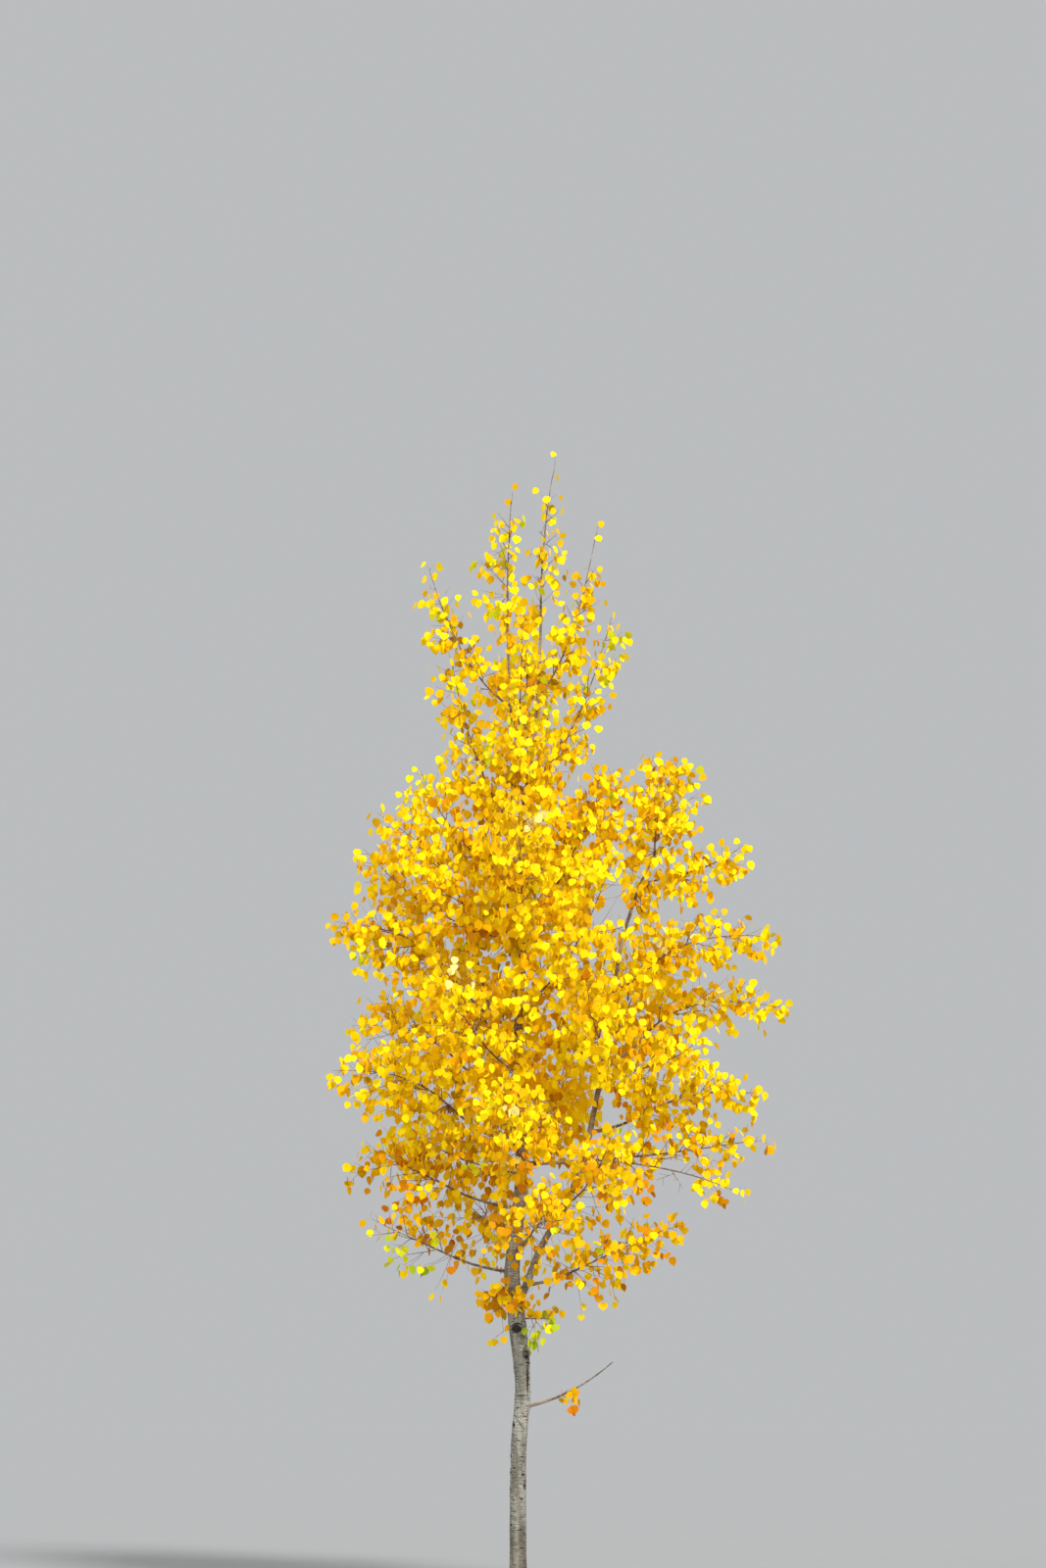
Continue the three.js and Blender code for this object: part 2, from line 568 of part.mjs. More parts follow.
// One mass, by its seeded rule: the core if it has one, the shoots round its stem, and their blades
function growMass(mass, others) {
  const { draw, curve: stem, spread } = mass;
  const isClear = (solid) => others.every((other) => other.minGap(solid, SEARCH) > TOUCH_GAP);
  const core = mass.coreShare > 0 ? coreOf(mass, isClear) : null;
  const twigsAndBlades = [mass.solid];

  // How one blade differs from the others, drawn before it is known whether it fits
  const drawBlade = () => ({
    scale: vary(draw, BLADE_VARIETY),
    turn: Math.PI / 2 + BLADE_LEAN * (2 * draw() - 1),
  });

  function addBlade(twig, root, along, length, { scale, turn }) {
    const blade = { root, along, length: length * scale, turn };
    const isApart = (solid) =>
      twigsAndBlades.every((piece) => piece === twig || piece.minGap(solid, SEARCH) >= BLADE_GAP);
    const solid = fitBlade(mass, blade, (trial) => isClear(trial) && isApart(trial));
    if (solid) twigsAndBlades.push(solid);
  }

  function addShoot(k) {
    const share = THREE.MathUtils.lerp(FIRST_SHOOT, LAST_SHOOT, (k + SHOOT_STRAY * draw()) / mass.shoots);
    const root = stem.getPoint(share);
    const along = stem.getTangent(share);
    const side = squareTo(along).applyAxisAngle(along, mass.turn + GOLDEN_TURN * k + TURN_STRAY * draw());
    const slant = SHOOT_SLANT * vary(draw, SHOOT_VARIETY);
    const out = along.multiplyScalar(Math.cos(slant)).addScaledVector(side, Math.sin(slant));
    out.addScaledVector(UP, UPWARD).normalize();
    const reach = spread * (1 - mass.narrowing * share) * vary(draw, SHOOT_VARIETY);
    const length = THREE.MathUtils.clamp(reach * BLADE_SHARE, SHORTEST_BLADE, LONGEST_BLADE);
    const end = root.clone().addScaledVector(out, Math.max(reach - BLADE_OVERLAP * length, SHORTEST_SHOOT));
    const twist = 2 * Math.PI * draw();
    const drawn = BLADES_AT.map(drawBlade);
    const curve = new THREE.LineCurve3(root, end);
    const radiusOf = (ring) => THREE.MathUtils.lerp(SHOOT_RADIUS, SHOOT_TIP_RADIUS, ring.share);
    const solid = solidOf(limbGeometry(ringsAlong(curve, 1), radiusOf, TWIG_SIDES));
    if (!inOwnSpace(mass, [end]) || !isClear(solid)) return;
    twigsAndBlades.push(solid);
    for (const [i, at] of BLADES_AT.entries()) {
      const isLast = i === BLADES_AT.length - 1;
      const slanted = squareTo(out).applyAxisAngle(out, twist + Math.PI * i);
      slanted.multiplyScalar(Math.sin(SIDE_BLADE_SLANT)).addScaledVector(out, Math.cos(SIDE_BLADE_SLANT));
      addBlade(solid, curve.getPoint(at), isLast ? out : slanted, length, drawn[i]);
    }
  }

  addBlade(mass.solid, stem.getPoint(1), stem.getTangent(1), mass.lastBlade, drawBlade());
  for (let k = 0; k < mass.shoots; k++) addShoot(k);
  let solid = wasm.Manifold.union(core ? [core, ...twigsAndBlades] : twigsAndBlades);
  if (mass.cutter) solid = solid.subtract(mass.cutter);
  return largestPiece(solid);
}

// Each mass grows clear of the limbs, of the masses before it and of the stems of those after it.
for (const mass of masses) {
  const others = [...allLimbs, ...masses].filter((other) => other !== mass);
  mass.solid = growMass(mass, others.map((other) => other.solid));
}

// The tree
const tree = new THREE.Group();
tree.name = "aspen_tree";
function addNode(name, { solid, look }) {
  const mesh = new THREE.Mesh(geometryOf(solid), new THREE.MeshStandardMaterial(look));
  mesh.name = name;
  tree.add(mesh);
}
for (const limb of allLimbs) addNode(limb.name, limb);
for (const mass of masses) addNode(`${mass.name}_leaves`, mass);

export default tree;
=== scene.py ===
"""A young quaking aspen in autumn leaf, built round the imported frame.

The limbs of the frame get bark with relief. Each mass of foliage grows again by the same seeded
rule as its solid, carried on to finer twigs and to single leaves on their stalks. Lengths in the
tables are in millimetres, as in the part's source, and everything made from them is in metres.
"""

import functools
import math

import bmesh
import bpy
import numpy as np
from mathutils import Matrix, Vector


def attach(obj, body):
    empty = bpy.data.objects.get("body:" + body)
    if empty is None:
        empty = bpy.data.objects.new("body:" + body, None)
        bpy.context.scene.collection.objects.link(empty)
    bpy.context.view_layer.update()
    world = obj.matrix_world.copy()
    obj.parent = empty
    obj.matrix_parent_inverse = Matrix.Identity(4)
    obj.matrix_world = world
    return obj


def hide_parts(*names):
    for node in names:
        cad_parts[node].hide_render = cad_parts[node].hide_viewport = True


bl_info = {
    "name": "Autumn aspen",
    "version": (1, 0, 0),
    "blender": (4, 5, 0),
    "location": "View3D > Sidebar > Aspen",
    "description": "Bark, twigs, leaves and stage for the aspen tree",
    "category": "Object",
}

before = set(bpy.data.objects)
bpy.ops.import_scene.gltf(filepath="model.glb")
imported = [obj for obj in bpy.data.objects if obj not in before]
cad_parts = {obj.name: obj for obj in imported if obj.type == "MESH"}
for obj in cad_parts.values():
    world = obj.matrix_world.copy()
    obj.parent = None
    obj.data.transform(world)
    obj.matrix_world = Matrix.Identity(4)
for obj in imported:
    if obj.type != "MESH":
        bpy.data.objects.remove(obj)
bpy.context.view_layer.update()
MM = 0.001
UP = np.array([0.0, 0.0, 1.0])
LEVEL = np.array([1, 1, 0])
ORIGIN = (0, 0, 0)

# The tree's own sizes, as in the part's source

# height, x, y of a stem's centre line
TRUNK_SWAY = [
    (0, 0, 0),
    (900, 3, 4),
    (1280, 28, 8),
    (1640, -2, 0),
    (1980, -37, -10),
    (2520, 16, 0),
    (3550, 3, 0),
    (4095, 38, -8),
    (4770, 27, 0),
    (5290, 100, 8),
    (5900, 138, 0),
    (6120, 142, 0),
]
# height, radius
TRUNK_RADIUS = [
    (0, 53),
    (1090, 47),
    (1400, 48.5),
    (1650, 56),
    (1900, 48),
    (2310, 43),
    (2770, 31),
    (4150, 22.5),
    (4770, 17),
    (5300, 11.5),
    (6120, 7.5),
]
FLARE_RADIUS = 26
FLARE_HEIGHT = 70
FLARE_LOBES = 4
FLARE_LOBE_SHARE = 0.45

SIDE_STEM_SWAY = [
    (1745, -18, 0),
    (1936, 62, 22),
    (2134, 140, 50),
    (2545, 360, 90),
    (3070, 490, 100),
    (3570, 575, 80),
    (4030, 647, 50),
    (4400, 766, 30),
    (4560, 850, 25),
]
SIDE_STEM_RADIUS = [
    (1745, 27),
    (2134, 23),
    (2545, 20.5),
    (3070, 17),
    (3650, 14),
    (4560, 8.5),
]

LEFT_LEADER_SWAY = [
    (4440, 26, -8),
    (4560, 0, -16),
    (4776, -32, -24),
    (5317, -42, -20),
    (5942, -66, -10),
    (6180, -67, -6),
]
LEFT_LEADER_RADIUS = [
    (4440, 11),
    (5317, 9.5),
    (6180, 6),
]

# name, centre line, radii, sides of its bark mesh: the first one carries the others
STEMS = (
    ("trunk", TRUNK_SWAY, TRUNK_RADIUS, 44),
    ("side_stem", SIDE_STEM_SWAY, SIDE_STEM_RADIUS, 28),
    ("left_leader", LEFT_LEADER_SWAY, LEFT_LEADER_RADIUS, 18),
)

# name, what carries it and at which height, bearing, reach and height of its tip, root and tip radius
BOUGHS = [
    ("bare_bough", "trunk", 1155, -3, 585, 1435, 10, 3),
    ("low_right_bough", "side_stem", 1905, -10, 330, 1980, 10, 6.5),
    ("low_left_bough", "trunk", 1985, 187, 400, 2075, 10, 6.5),
    ("low_front_bough", "trunk", 2110, 281, 380, 2200, 10, 6.5),
    ("low_back_bough", "trunk", 2200, 110, 400, 2270, 10, 6.5),
    ("left_bough", "trunk", 2375, 170, 420, 2500, 10, 6.5),
    ("right_sweep_bough", "trunk", 2650, -12, 640, 2680, 13, 7.5),
    ("right_bough", "side_stem", 2850, 2, 780, 2960, 11, 7),
    ("right_rising_bough", "side_stem", 3270, 9, 800, 3450, 12, 7),
    ("right_high_bough", "side_stem", 3740, -6, 820, 3860, 9, 6),
    ("left_rising_bough", "trunk", 2760, 197, 430, 2990, 11, 7),
    ("left_middle_bough", "trunk", 3070, 166, 400, 3300, 11, 7),
    ("left_steep_bough", "trunk", 3240, 200, 310, 4080, 13, 7.5),
    ("left_high_bough", "trunk", 3480, 178, 400, 3800, 10, 6.5),
    ("right_upper_bough", "trunk", 4180, 2, 270, 4440, 10, 6.5),
]

# name, what carries it and where, bearing, reach and height of its tip, spread, number of shoots
TIP = None
MASSES = [
    ("bare_bough_sprig", "bare_bough", 0.3, -12, 340, 1310, 110, 2),
    ("skirt_front", "trunk", 1800, 238, 300, 1730, 240, 4),
    ("skirt_right", "trunk", 1700, 318, 330, 1690, 210, 4),
    ("low_right", "low_right_bough", TIP, -8, 1050, 2300, 290, 7),
    ("low_left", "low_left_bough", TIP, 184, 960, 2330, 290, 7),
    ("low_front", "low_front_bough", TIP, 285, 980, 2260, 360, 7),
    ("low_back", "low_back_bough", TIP, 108, 1030, 2340, 360, 7),
    ("left_lower", "left_bough", TIP, 174, 1035, 2760, 380, 7),
    ("right_sweep", "right_sweep_bough", TIP, -6, 1571, 2805, 260, 7),
    ("right_sweep_fork", "right_sweep_bough", 0.78, -17, 1440, 2442, 240, 4),
    ("right", "right_bough", TIP, 4, 1556, 3080, 270, 7),
    ("right_rising", "right_rising_bough", TIP, 9, 1704, 3625, 280, 6),
    ("right_inner", "side_stem", 3190, -26, 1290, 3400, 350, 7),
    ("right_high", "right_high_bough", TIP, -5, 1600, 4050, 270, 6),
    ("right_upper_tip", "side_stem", 4400, 5, 1463, 4677, 220, 5),
    ("side_stem_top", "side_stem", TIP, 6, 1037, 5231, 360, 8),
    ("side_stem_front", "side_stem", 3350, 292, 1060, 3800, 380, 7),
    ("side_stem_back", "side_stem", 3420, 44, 1200, 4300, 400, 7),
    ("left_rising", "left_rising_bough", TIP, 195, 1199, 3211, 380, 7),
    ("left_middle", "left_middle_bough", TIP, 167, 1115, 3520, 380, 7),
    ("left_high", "left_high_bough", TIP, 180, 1169, 4160, 400, 7),
    ("left_steep", "left_steep_bough", TIP, 193, 915, 4831, 340, 7),
    ("left_upper", "trunk", 4010, 168, 1030, 4680, 340, 7),
    ("front_lower", "trunk", 2700, 265, 1080, 3150, 410, 7),
    ("back_lower", "trunk", 2840, 72, 1100, 3440, 410, 7),
    ("front_right_lower", "side_stem", 2390, 306, 1010, 2880, 400, 7),
    ("back_left_lower", "trunk", 2590, 134, 1060, 2960, 400, 7),
    ("front_middle", "trunk", 3200, 242, 1060, 3900, 410, 7),
    ("back_middle", "trunk", 3400, 118, 1080, 4100, 410, 7),
    ("front_right", "trunk", 3600, 307, 1010, 4580, 410, 7),
    ("right_upper", "right_upper_bough", TIP, 5, 620, 5170, 370, 7),
    ("front_upper", "trunk", 4120, 270, 890, 4930, 420, 8),
    ("back_upper", "trunk", 4200, 82, 910, 4830, 430, 8),
    ("left_shoulder", "trunk", 4380, 186, 655, 5150, 330, 7),
    ("left_crown", "left_leader", 4750, 176, 455, 5973, 320, 10),
    ("right_crown", "trunk", 5000, 3, 600, 6120, 240, 9),
    ("front_crown", "left_leader", 4850, 274, 490, 6120, 330, 10),
    ("back_crown", "trunk", 5050, 84, 500, 6180, 330, 10),
    ("left_spire", "left_leader", 5500, 177, 577, 6426, 230, 9),
    ("right_spire", "trunk", 5560, 6, 510, 6700, 260, 9),
    ("left_top", "left_leader", TIP, 190, 34, 6938, 270, 10),
    ("top", "trunk", TIP, 2, 237, 7100, 270, 10),
]

# How boughs and stems bend: out first, or on in the way of the limb whose tip they start from
BEND_OUT = 0.55
BEND_UP = 0.2
FOLLOW_ON = 0.4
STEM_RADIUS = 7
PATH_STEPS = 10

# Each mass draws its numbers from a seed of its own
FIRST_SEED = 101
SEED_STEP = 17

# Shoots along a mass's stem, by share of its length
FIRST_SHOOT = 0.12
LAST_SHOOT = 0.86
SHOOT_STRAY = 0.6
GOLDEN_TURN = math.radians(137.5)
TURN_STRAY = 0.5
SHOOT_SLANT = math.radians(52)
UPWARD = 0.22
TIP_NARROWING = 0.35
TOP_NARROWING = 0.75
TOP_ABOVE = 6400
SHOOT_VARIETY = 0.15
SHORTEST_SHOOT = 40

# Sprays: two on each shoot and one at the stem's tip
SPRAYS_AT = (0.6, 0.97)
SPRAY_OVERLAP = 0.8
SIDE_SPRAY_SLANT = math.radians(75)
SPRAY_SHARE = 0.9
SHORTEST_SPRAY = 125
LONGEST_SPRAY = 380
LAST_SPRAY_SHARE = 0.62
SHORTEST_LAST_SPRAY = 115
SPRAY_VARIETY = 0.15
SPRAY_LEAN = 0.6
SPRAY_OUTLINE = ((0.42, 0.58), (0.95, 0.42), (0.95, -0.42), (0.42, -0.58))
SPRAY_REACH = 0.95
SPRAY_SINK = 2

# A spray that would leave its mass's space or come near a limb is turned and shortened
ATTEMPTS = 4
SHORTENING = 0.12
SPACE_GAP = 2
LIMB_GAP = 14

# Zones in which leaves and twigs are joined: name, first mass, and the first one after the zone
ZONES = (
    ("lower_crown", 0, 10),
    ("side_crown", 10, 18),
    ("left_crown", 18, 23),
    ("middle_crown", 23, 31),
    ("upper_crown", 31, 42),
)


# Settings


def length_property(name, description, default, low=0.0):
    """A size in metres that a user may change."""
    return bpy.props.FloatProperty(
        name=name, description=description, default=default, min=low, unit="LENGTH", precision=4
    )


def colour_property(name, description, default):
    """A colour that a user may change."""
    return bpy.props.FloatVectorProperty(
        name=name, description=description, default=default, min=0, max=1, size=3, subtype="COLOR"
    )


def share_property(name, description, default):
    """A share from 0 to 1 that a user may change."""
    return bpy.props.FloatProperty(
        name=name, description=description, default=default, min=0, max=1, subtype="FACTOR"
    )


def light_property(name, default):
    """A lamp's strength that a user may change."""
    return bpy.props.FloatProperty(name=name, description="Watts per square metre", default=default)


class AspenBarkSettings(bpy.types.PropertyGroup):
    """Sizes and colours of the bark"""

    ring_spacing: length_property("Ring spacing", "Distance between the trunk's rings", 0.011, 0.004)
    relief: length_property("Relief", "How far the bark's lumps stand out", 0.0022)
    collar: length_property("Branch collar", "How far bark swells where a limb leaves it", 0.007)
    pale: colour_property("Pale bark", "Weathered face of the trunk", (0.45, 0.43, 0.365))
    # The grey-green of the streaks, which also serves as the painted shade in the trunk's furrows
    shade: colour_property("Shaded bark", "Grey-green streaks down the trunk", (0.15, 0.14, 0.10))
    dark: colour_property("Dark marks", "Lenticels, cracks and branch scars", (0.018, 0.014, 0.011))
    rust: colour_property("Rusty marks", "Reddish patches by the cracks", (0.13, 0.045, 0.02))
    warm: colour_property("Warm bark", "The trunk's face within the crown", (0.36, 0.28, 0.20))
    warm_shade: colour_property("Warm shade", "The streaks down it there", (0.155, 0.11, 0.072))
    # Painted shade: the trunk is darker towards its foot, as in the shade of the grass round it
    foot_shade: colour_property("Stained foot", "Dirt on the lowest part of the trunk", (0.115, 0.09, 0.055))
    bough: colour_property("Bough bark", "Warm grey of the boughs in the crown", (0.30, 0.215, 0.14))
    bough_dark: colour_property("Bough shade", "Darker side of that bark", (0.10, 0.06, 0.035))


class AspenLeafSettings(bpy.types.PropertyGroup):
    """Sizes and colours of the twigs and leaves"""

    leaf_length: length_property("Leaf length", "Length of a middling blade", 0.052, 0.01)
    leaf_width: length_property("Leaf width", "Width of a middling blade", 0.054, 0.01)
    stalk: length_property("Leaf stalk", "Length of a middling leaf stalk", 0.036, 0.005)
    spacing: length_property("Leaf spacing", "Distance between leaves along a twig", 0.037, 0.01)
    droop: share_property("Droop", "How nearly the leaves hang straight down", 0.72)
    yellow: colour_property("Yellow", "Most leaves", (0.93, 0.63, 0.002))
    lemon: colour_property("Lemon", "Leaves in full light", (0.96, 0.73, 0.004))
    gold: colour_property("Gold", "Leaves in half shade", (0.84, 0.46, 0.002))
    # Painted shade: darker leaves that stand for the shade in the heart of the crown
    ochre: colour_property("Ochre", "Leaves in the heart of the crown", (0.56, 0.32, 0.002))
    amber: colour_property("Amber", "Leaves low in the crown", (0.64, 0.265, 0.002))
    orange: colour_property("Orange", "The ripest leaves", (0.54, 0.165, 0.002))
    lime: colour_property("Lime", "Leaves that still turn", (0.66, 0.66, 0.012))
    green: colour_property("Green", "The last green leaves", (0.36, 0.46, 0.02))
    # Painted highlight: pale leaves that stand for the sky's light glinting on them
    cream: colour_property("Cream", "Leaves that catch the sky", (0.93, 0.80, 0.22))
    stalk_colour: colour_property("Stalks", "Leaf stalks", (0.62, 0.36, 0.05))
    twig: colour_property("Twigs", "Bark of the twigs", (0.17, 0.075, 0.035))
    twig_pale: colour_property("Pale twigs", "Lighter patches of that bark", (0.40, 0.27, 0.17))
    # Painted glow: the leaves give off light in their own colour, which stands in for the light that passes
    # through them
    painted_glow: share_property("Glow", "Light that passes through the leaves", 0.07)


class AspenStageSettings(bpy.types.PropertyGroup):
    """Floor, light and camera"""

    floor: colour_property("Floor", "Plain studio floor", (0.336, 0.341, 0.341))
    sky: colour_property("Surround", "Plain light all round", (0.80, 0.82, 0.84))
    floor_radius: length_property("Floor radius", "Radius of the floor", 45.0)
    key: light_property("Key light", 3.5)
    fill: light_property("Fill light", 0.8)
    back: light_property("Back light", 1.1)


# Curves and the growth rule

NEARLY_UPRIGHT = 0.9


def seeded(seed):
    """The part's own stream of numbers from 0 to 1."""
    mask = 0xFFFFFFFF
    state = seed & mask

    def draw():
        nonlocal state
        state = (state + 0x6D2B79F5) & mask
        t = ((state ^ (state >> 15)) * (state | 1)) & mask
        t = ((t + (((t ^ (t >> 7)) * (t | 61)) & mask)) & mask) ^ t
        return ((t ^ (t >> 14)) & mask) / 2**32

    return draw


def vary(draw, share):
    """A number that differs from 1 by up to that share."""
    return 1 + share * (2 * draw() - 1)


def place_in(rows, height):
    """The row that a height falls behind, and how far it lies on the way to the next one."""
    last = len(rows) - 2
    row = max(k for k in range(last + 1) if k == 0 or rows[k][0] < height)
    start, end = rows[row][0], rows[row + 1][0]
    return row, min(max((height - start) / (end - start), 0), 1)


def between(rows, height):
    """A value at a height, read between the rows."""
    row, share = place_in(rows, height)
    return rows[row][1] + (rows[row + 1][1] - rows[row][1]) * share


def sway_at(rows, height):
    """The centre of a stem at a height, on a smooth line through the rows."""
    row, s = place_in(rows, height)

    def slope(k):
        before, after = rows[max(k - 1, 0)], rows[min(k + 1, len(rows) - 1)]
        return np.subtract(after[1:], before[1:]) / (after[0] - before[0])

    span = rows[row + 1][0] - rows[row][0]
    level = (
        (2 * s**3 - 3 * s**2 + 1) * np.array(rows[row][1:], float)
        + (s**3 - 2 * s**2 + s) * span * slope(row)
        + (3 * s**2 - 2 * s**3) * np.array(rows[row + 1][1:], float)
        + (s**3 - s**2) * span * slope(row + 1)
    )
    return np.array([level[0], level[1], height])


def unit(vector):
    """The same direction, one long."""
    return vector / np.linalg.norm(vector)


def square_to(along):
    """A direction square to another: level, unless the other is nearly upright."""
    hint = np.array([1.0, 0.0, 0.0]) if abs(along[2]) > NEARLY_UPRIGHT else UP
    return unit(np.cross(along, hint))


def turned(side, along, angle):
    """A direction square to along, turned round it."""
    return side * math.cos(angle) + np.cross(along, side) * math.sin(angle)


def tip_point(bearing, reach, height):
    """A point given by its bearing, reach and height."""
    angle = math.radians(bearing)
    return np.array([reach * math.cos(angle), reach * math.sin(angle), height])


class Bend:
    """A curve from a root to a tip by way of one control point."""

    def __init__(self, root, control, tip):
        self.root, self.control, self.tip = root, control, tip

    def at(self, share):
        """The point at a share of the way."""
        rest = 1 - share
        return rest * rest * self.root + 2 * rest * share * self.control + share * share * self.tip

    def along(self, share):
        """The direction at a share of the way."""
        return unit((1 - share) * (self.control - self.root) + share * (self.tip - self.control))

    def points(self, steps):
        """Points at even shares of the way."""
        return np.array([self.at(i / steps) for i in range(steps + 1)])


def rising(root, tip):
    """The curve of a bough or stem: first out, then up."""
    control = root + (tip - root) * BEND_OUT
    control[2] = root[2] + (tip[2] - root[2]) * BEND_UP
    return Bend(root, control, tip)


def stem_limb(sway, radii):
    """Where a trunk or stem runs."""
    start, end = sway[0][0], sway[-1][0]
    heights = [start + (end - start) * i / PATH_STEPS for i in range(PATH_STEPS + 1)]
    return {
        "at": lambda height: sway_at(sway, height),
        "end": sway_at(sway, end),
        "end_direction": UP,
        "radius": lambda points: np.array([between(radii, p[2]) for p in points]),
        "path": np.array([sway_at(sway, height) for height in heights]),
    }


@functools.lru_cache(maxsize=None)
def limbs():
    """Every limb of the tree by name."""
    found = {name: stem_limb(sway, radii) for name, sway, radii, _ in STEMS}
    for name, carrier, root_height, bearing, reach, height, _, tip_radius in BOUGHS:
        curve = rising(found[carrier]["at"](root_height), tip_point(bearing, reach, height))
        found[name] = {
            "curve": curve,
            "at": curve.at,
            "end": curve.at(1),
            "end_direction": curve.along(1),
            "radius": lambda points, r=tip_radius: np.full(len(points), float(r)),
            "path": curve.points(PATH_STEPS),
        }
    return found


@functools.lru_cache(maxsize=None)
def masses():
    """Where each mass's stem runs."""
    found = []
    for index, (name, carrier, at, bearing, reach, height, spread, shoots) in enumerate(MASSES):
        parent = limbs()[carrier]
        tip = tip_point(bearing, reach, height)
        if at is TIP:
            root = parent["end"]
            control = root + parent["end_direction"] * FOLLOW_ON * np.linalg.norm(tip - root)
            root_radius = float(parent["radius"]([root])[0])
        else:
            root = parent["at"](at)
            control = rising(root, tip).control
            root_radius = STEM_RADIUS
        last = max(spread * LAST_SPRAY_SHARE, SHORTEST_LAST_SPRAY)
        stop = tip + unit(tip - control) * (SPRAY_SINK - SPRAY_REACH * last)
        curve = Bend(root, control, stop)
        found.append(
            {
                "name": name,
                "index": index,
                "curve": curve,
                "root_radius": root_radius,
                "path": curve.points(PATH_STEPS),
                "spread": spread,
                "shoots": shoots,
                "last": last,
                "narrowing": TOP_NARROWING if height > TOP_ABOVE else TIP_NARROWING,
            }
        )
    return found


def distance_to(path, points):
    """How far each point lies from a path of straight steps."""
    start, step = path[:-1], path[1:] - path[:-1]
    away = points[:, None, :] - start[None]
    share = (away * step).sum(2) / (step * step).sum(1)
    nearest = away - np.clip(share, 0, 1)[..., None] * step
    return np.sqrt((nearest * nearest).sum(2).min(1))


def in_own_space(mass, points, limb_gap=LIMB_GAP, space_gap=SPACE_GAP):
    """Which points lie nearer this mass's stem than any other, and clear of every limb."""
    points = np.atleast_2d(points)
    border = distance_to(mass["path"], points) + space_gap
    inside = np.ones(len(points), bool)
    for other in masses():
        if other is not mass:
            inside &= distance_to(other["path"], points) > border
    for limb in limbs().values():
        inside &= distance_to(limb["path"], points) > limb["radius"](points) + limb_gap
    return inside


def fit_spray(mass, root, along, length, scale, turn):
    """A spray that fits its mass's space, turned and shortened until it does, or nothing."""
    for attempt in range(ATTEMPTS):
        side = turned(square_to(along), along, turn + attempt * math.pi / ATTEMPTS)
        size = length * scale * (1 - SHORTENING * attempt)
        start = root - along * SPRAY_SINK
        corners = np.array([start + along * far * size + side * wide * size for far, wide in SPRAY_OUTLINE])
        if in_own_space(mass, corners).all():
            return {"root": root, "along": along, "length": size, "side": side}
    return None


def grow(mass):
    """The shoots and sprays of one mass, by the source's seeded rule."""
    draw = seeded(FIRST_SEED + SEED_STEP * mass["index"])
    curve, spread = mass["curve"], mass["spread"]
    shoots, sprays = [], []

    def draw_spray():
        return vary(draw, SPRAY_VARIETY), math.pi / 2 + SPRAY_LEAN * (2 * draw() - 1)

    sprays.append(fit_spray(mass, curve.at(1), curve.along(1), mass["last"], *draw_spray()))
    for k in range(mass["shoots"]):
        place = (k + SHOOT_STRAY * draw()) / mass["shoots"]
        share = FIRST_SHOOT + (LAST_SHOOT - FIRST_SHOOT) * place
        root, along = curve.at(share), curve.along(share)
        turn = SEED_STEP * mass["index"] + GOLDEN_TURN * k + TURN_STRAY * draw()
        side = turned(square_to(along), along, turn)
        slant = SHOOT_SLANT * vary(draw, SHOOT_VARIETY)
        out = unit(along * math.cos(slant) + side * math.sin(slant) + UP * UPWARD)
        reach = spread * (1 - mass["narrowing"] * share) * vary(draw, SHOOT_VARIETY)
        length = min(max(reach * SPRAY_SHARE, SHORTEST_SPRAY), LONGEST_SPRAY)
        end = root + out * max(reach - SPRAY_OVERLAP * length, SHORTEST_SHOOT)
        twist = 2 * math.pi * draw()
        drawn = [draw_spray() for _ in SPRAYS_AT]
        if not in_own_space(mass, end).all():
            continue
        shoots.append({"root": root, "end": end})
        for i, at in enumerate(SPRAYS_AT):
            away = turned(square_to(out), out, twist + math.pi * i)
            away = away * math.sin(SIDE_SPRAY_SLANT) + out * math.cos(SIDE_SPRAY_SLANT)
            facing = out if i == len(SPRAYS_AT) - 1 else away
            sprays.append(fit_spray(mass, root + (end - root) * at, facing, length, *drawn[i]))
    return shoots, [spray for spray in sprays if spray]


# Finer twigs and the places of the leaves

# kind of twig: sides of its tube, steps along it, radius at its root and at its tip, where a stem's
# root is as thick as what carries it
TWIG_TIP = 0.8
TWIG_KINDS = {
    "stem": (6, 10, None, 2.4),
    "shoot": (5, 5, 3.4, 2.3),
    "spray": (4, 4, 2.4, TWIG_TIP),
    "side_twig": (3, 3, 1.5, TWIG_TIP),
    "fill_twig": (3, 3, 1.7, TWIG_TIP),
}
TWIG_STRAY = 0.04  # of its length, by which a twig strays from the straight line
SHORTEST_TWIG = 22
WITHIN_STRETCH = (0.2, 0.8)  # of its own stretch of the twig, where a leaf or a side twig stands

# Side twigs of a spray
SIDE_TWIG_SPACING = 62
SIDE_TWIGS_FROM = 0.14
SIDE_TWIGS_ALONG = 0.72
TWIG_SLANT = math.radians(48)
SLANT_VARIETY = (0.75, 1.3)
OUT_OF_PLANE = 0.45
WIDEST_AT = 0.42  # of a spray's length
WIDEST_HALF = 0.62
WIDTH_LOSS = 0.32  # towards either end
SIDE_TWIG_VARIETY = (0.75, 1.05)

# Leaves along a twig
LEAF_ROOM = 46  # that a leaf takes past the end of its twig
LEAFY_LENGTH = 150  # of the outer end of a twig, that bears leaves
BARE_SHARE = 0.12  # that bears none on the shortest twigs
LEAF_HANG = 40  # from a leaf's seat down to its middle
SECOND_LEAF = 0.35  # how often two leaves share a place
LEAF_TURN_STRAY = 0.7
LEAF_LEAN = 0.5  # of a stalk towards the twig's tip
LEAF_SCALES = (0.76, 1.12)
TIP_LEAF_SCALES = (0.7, 1.05)

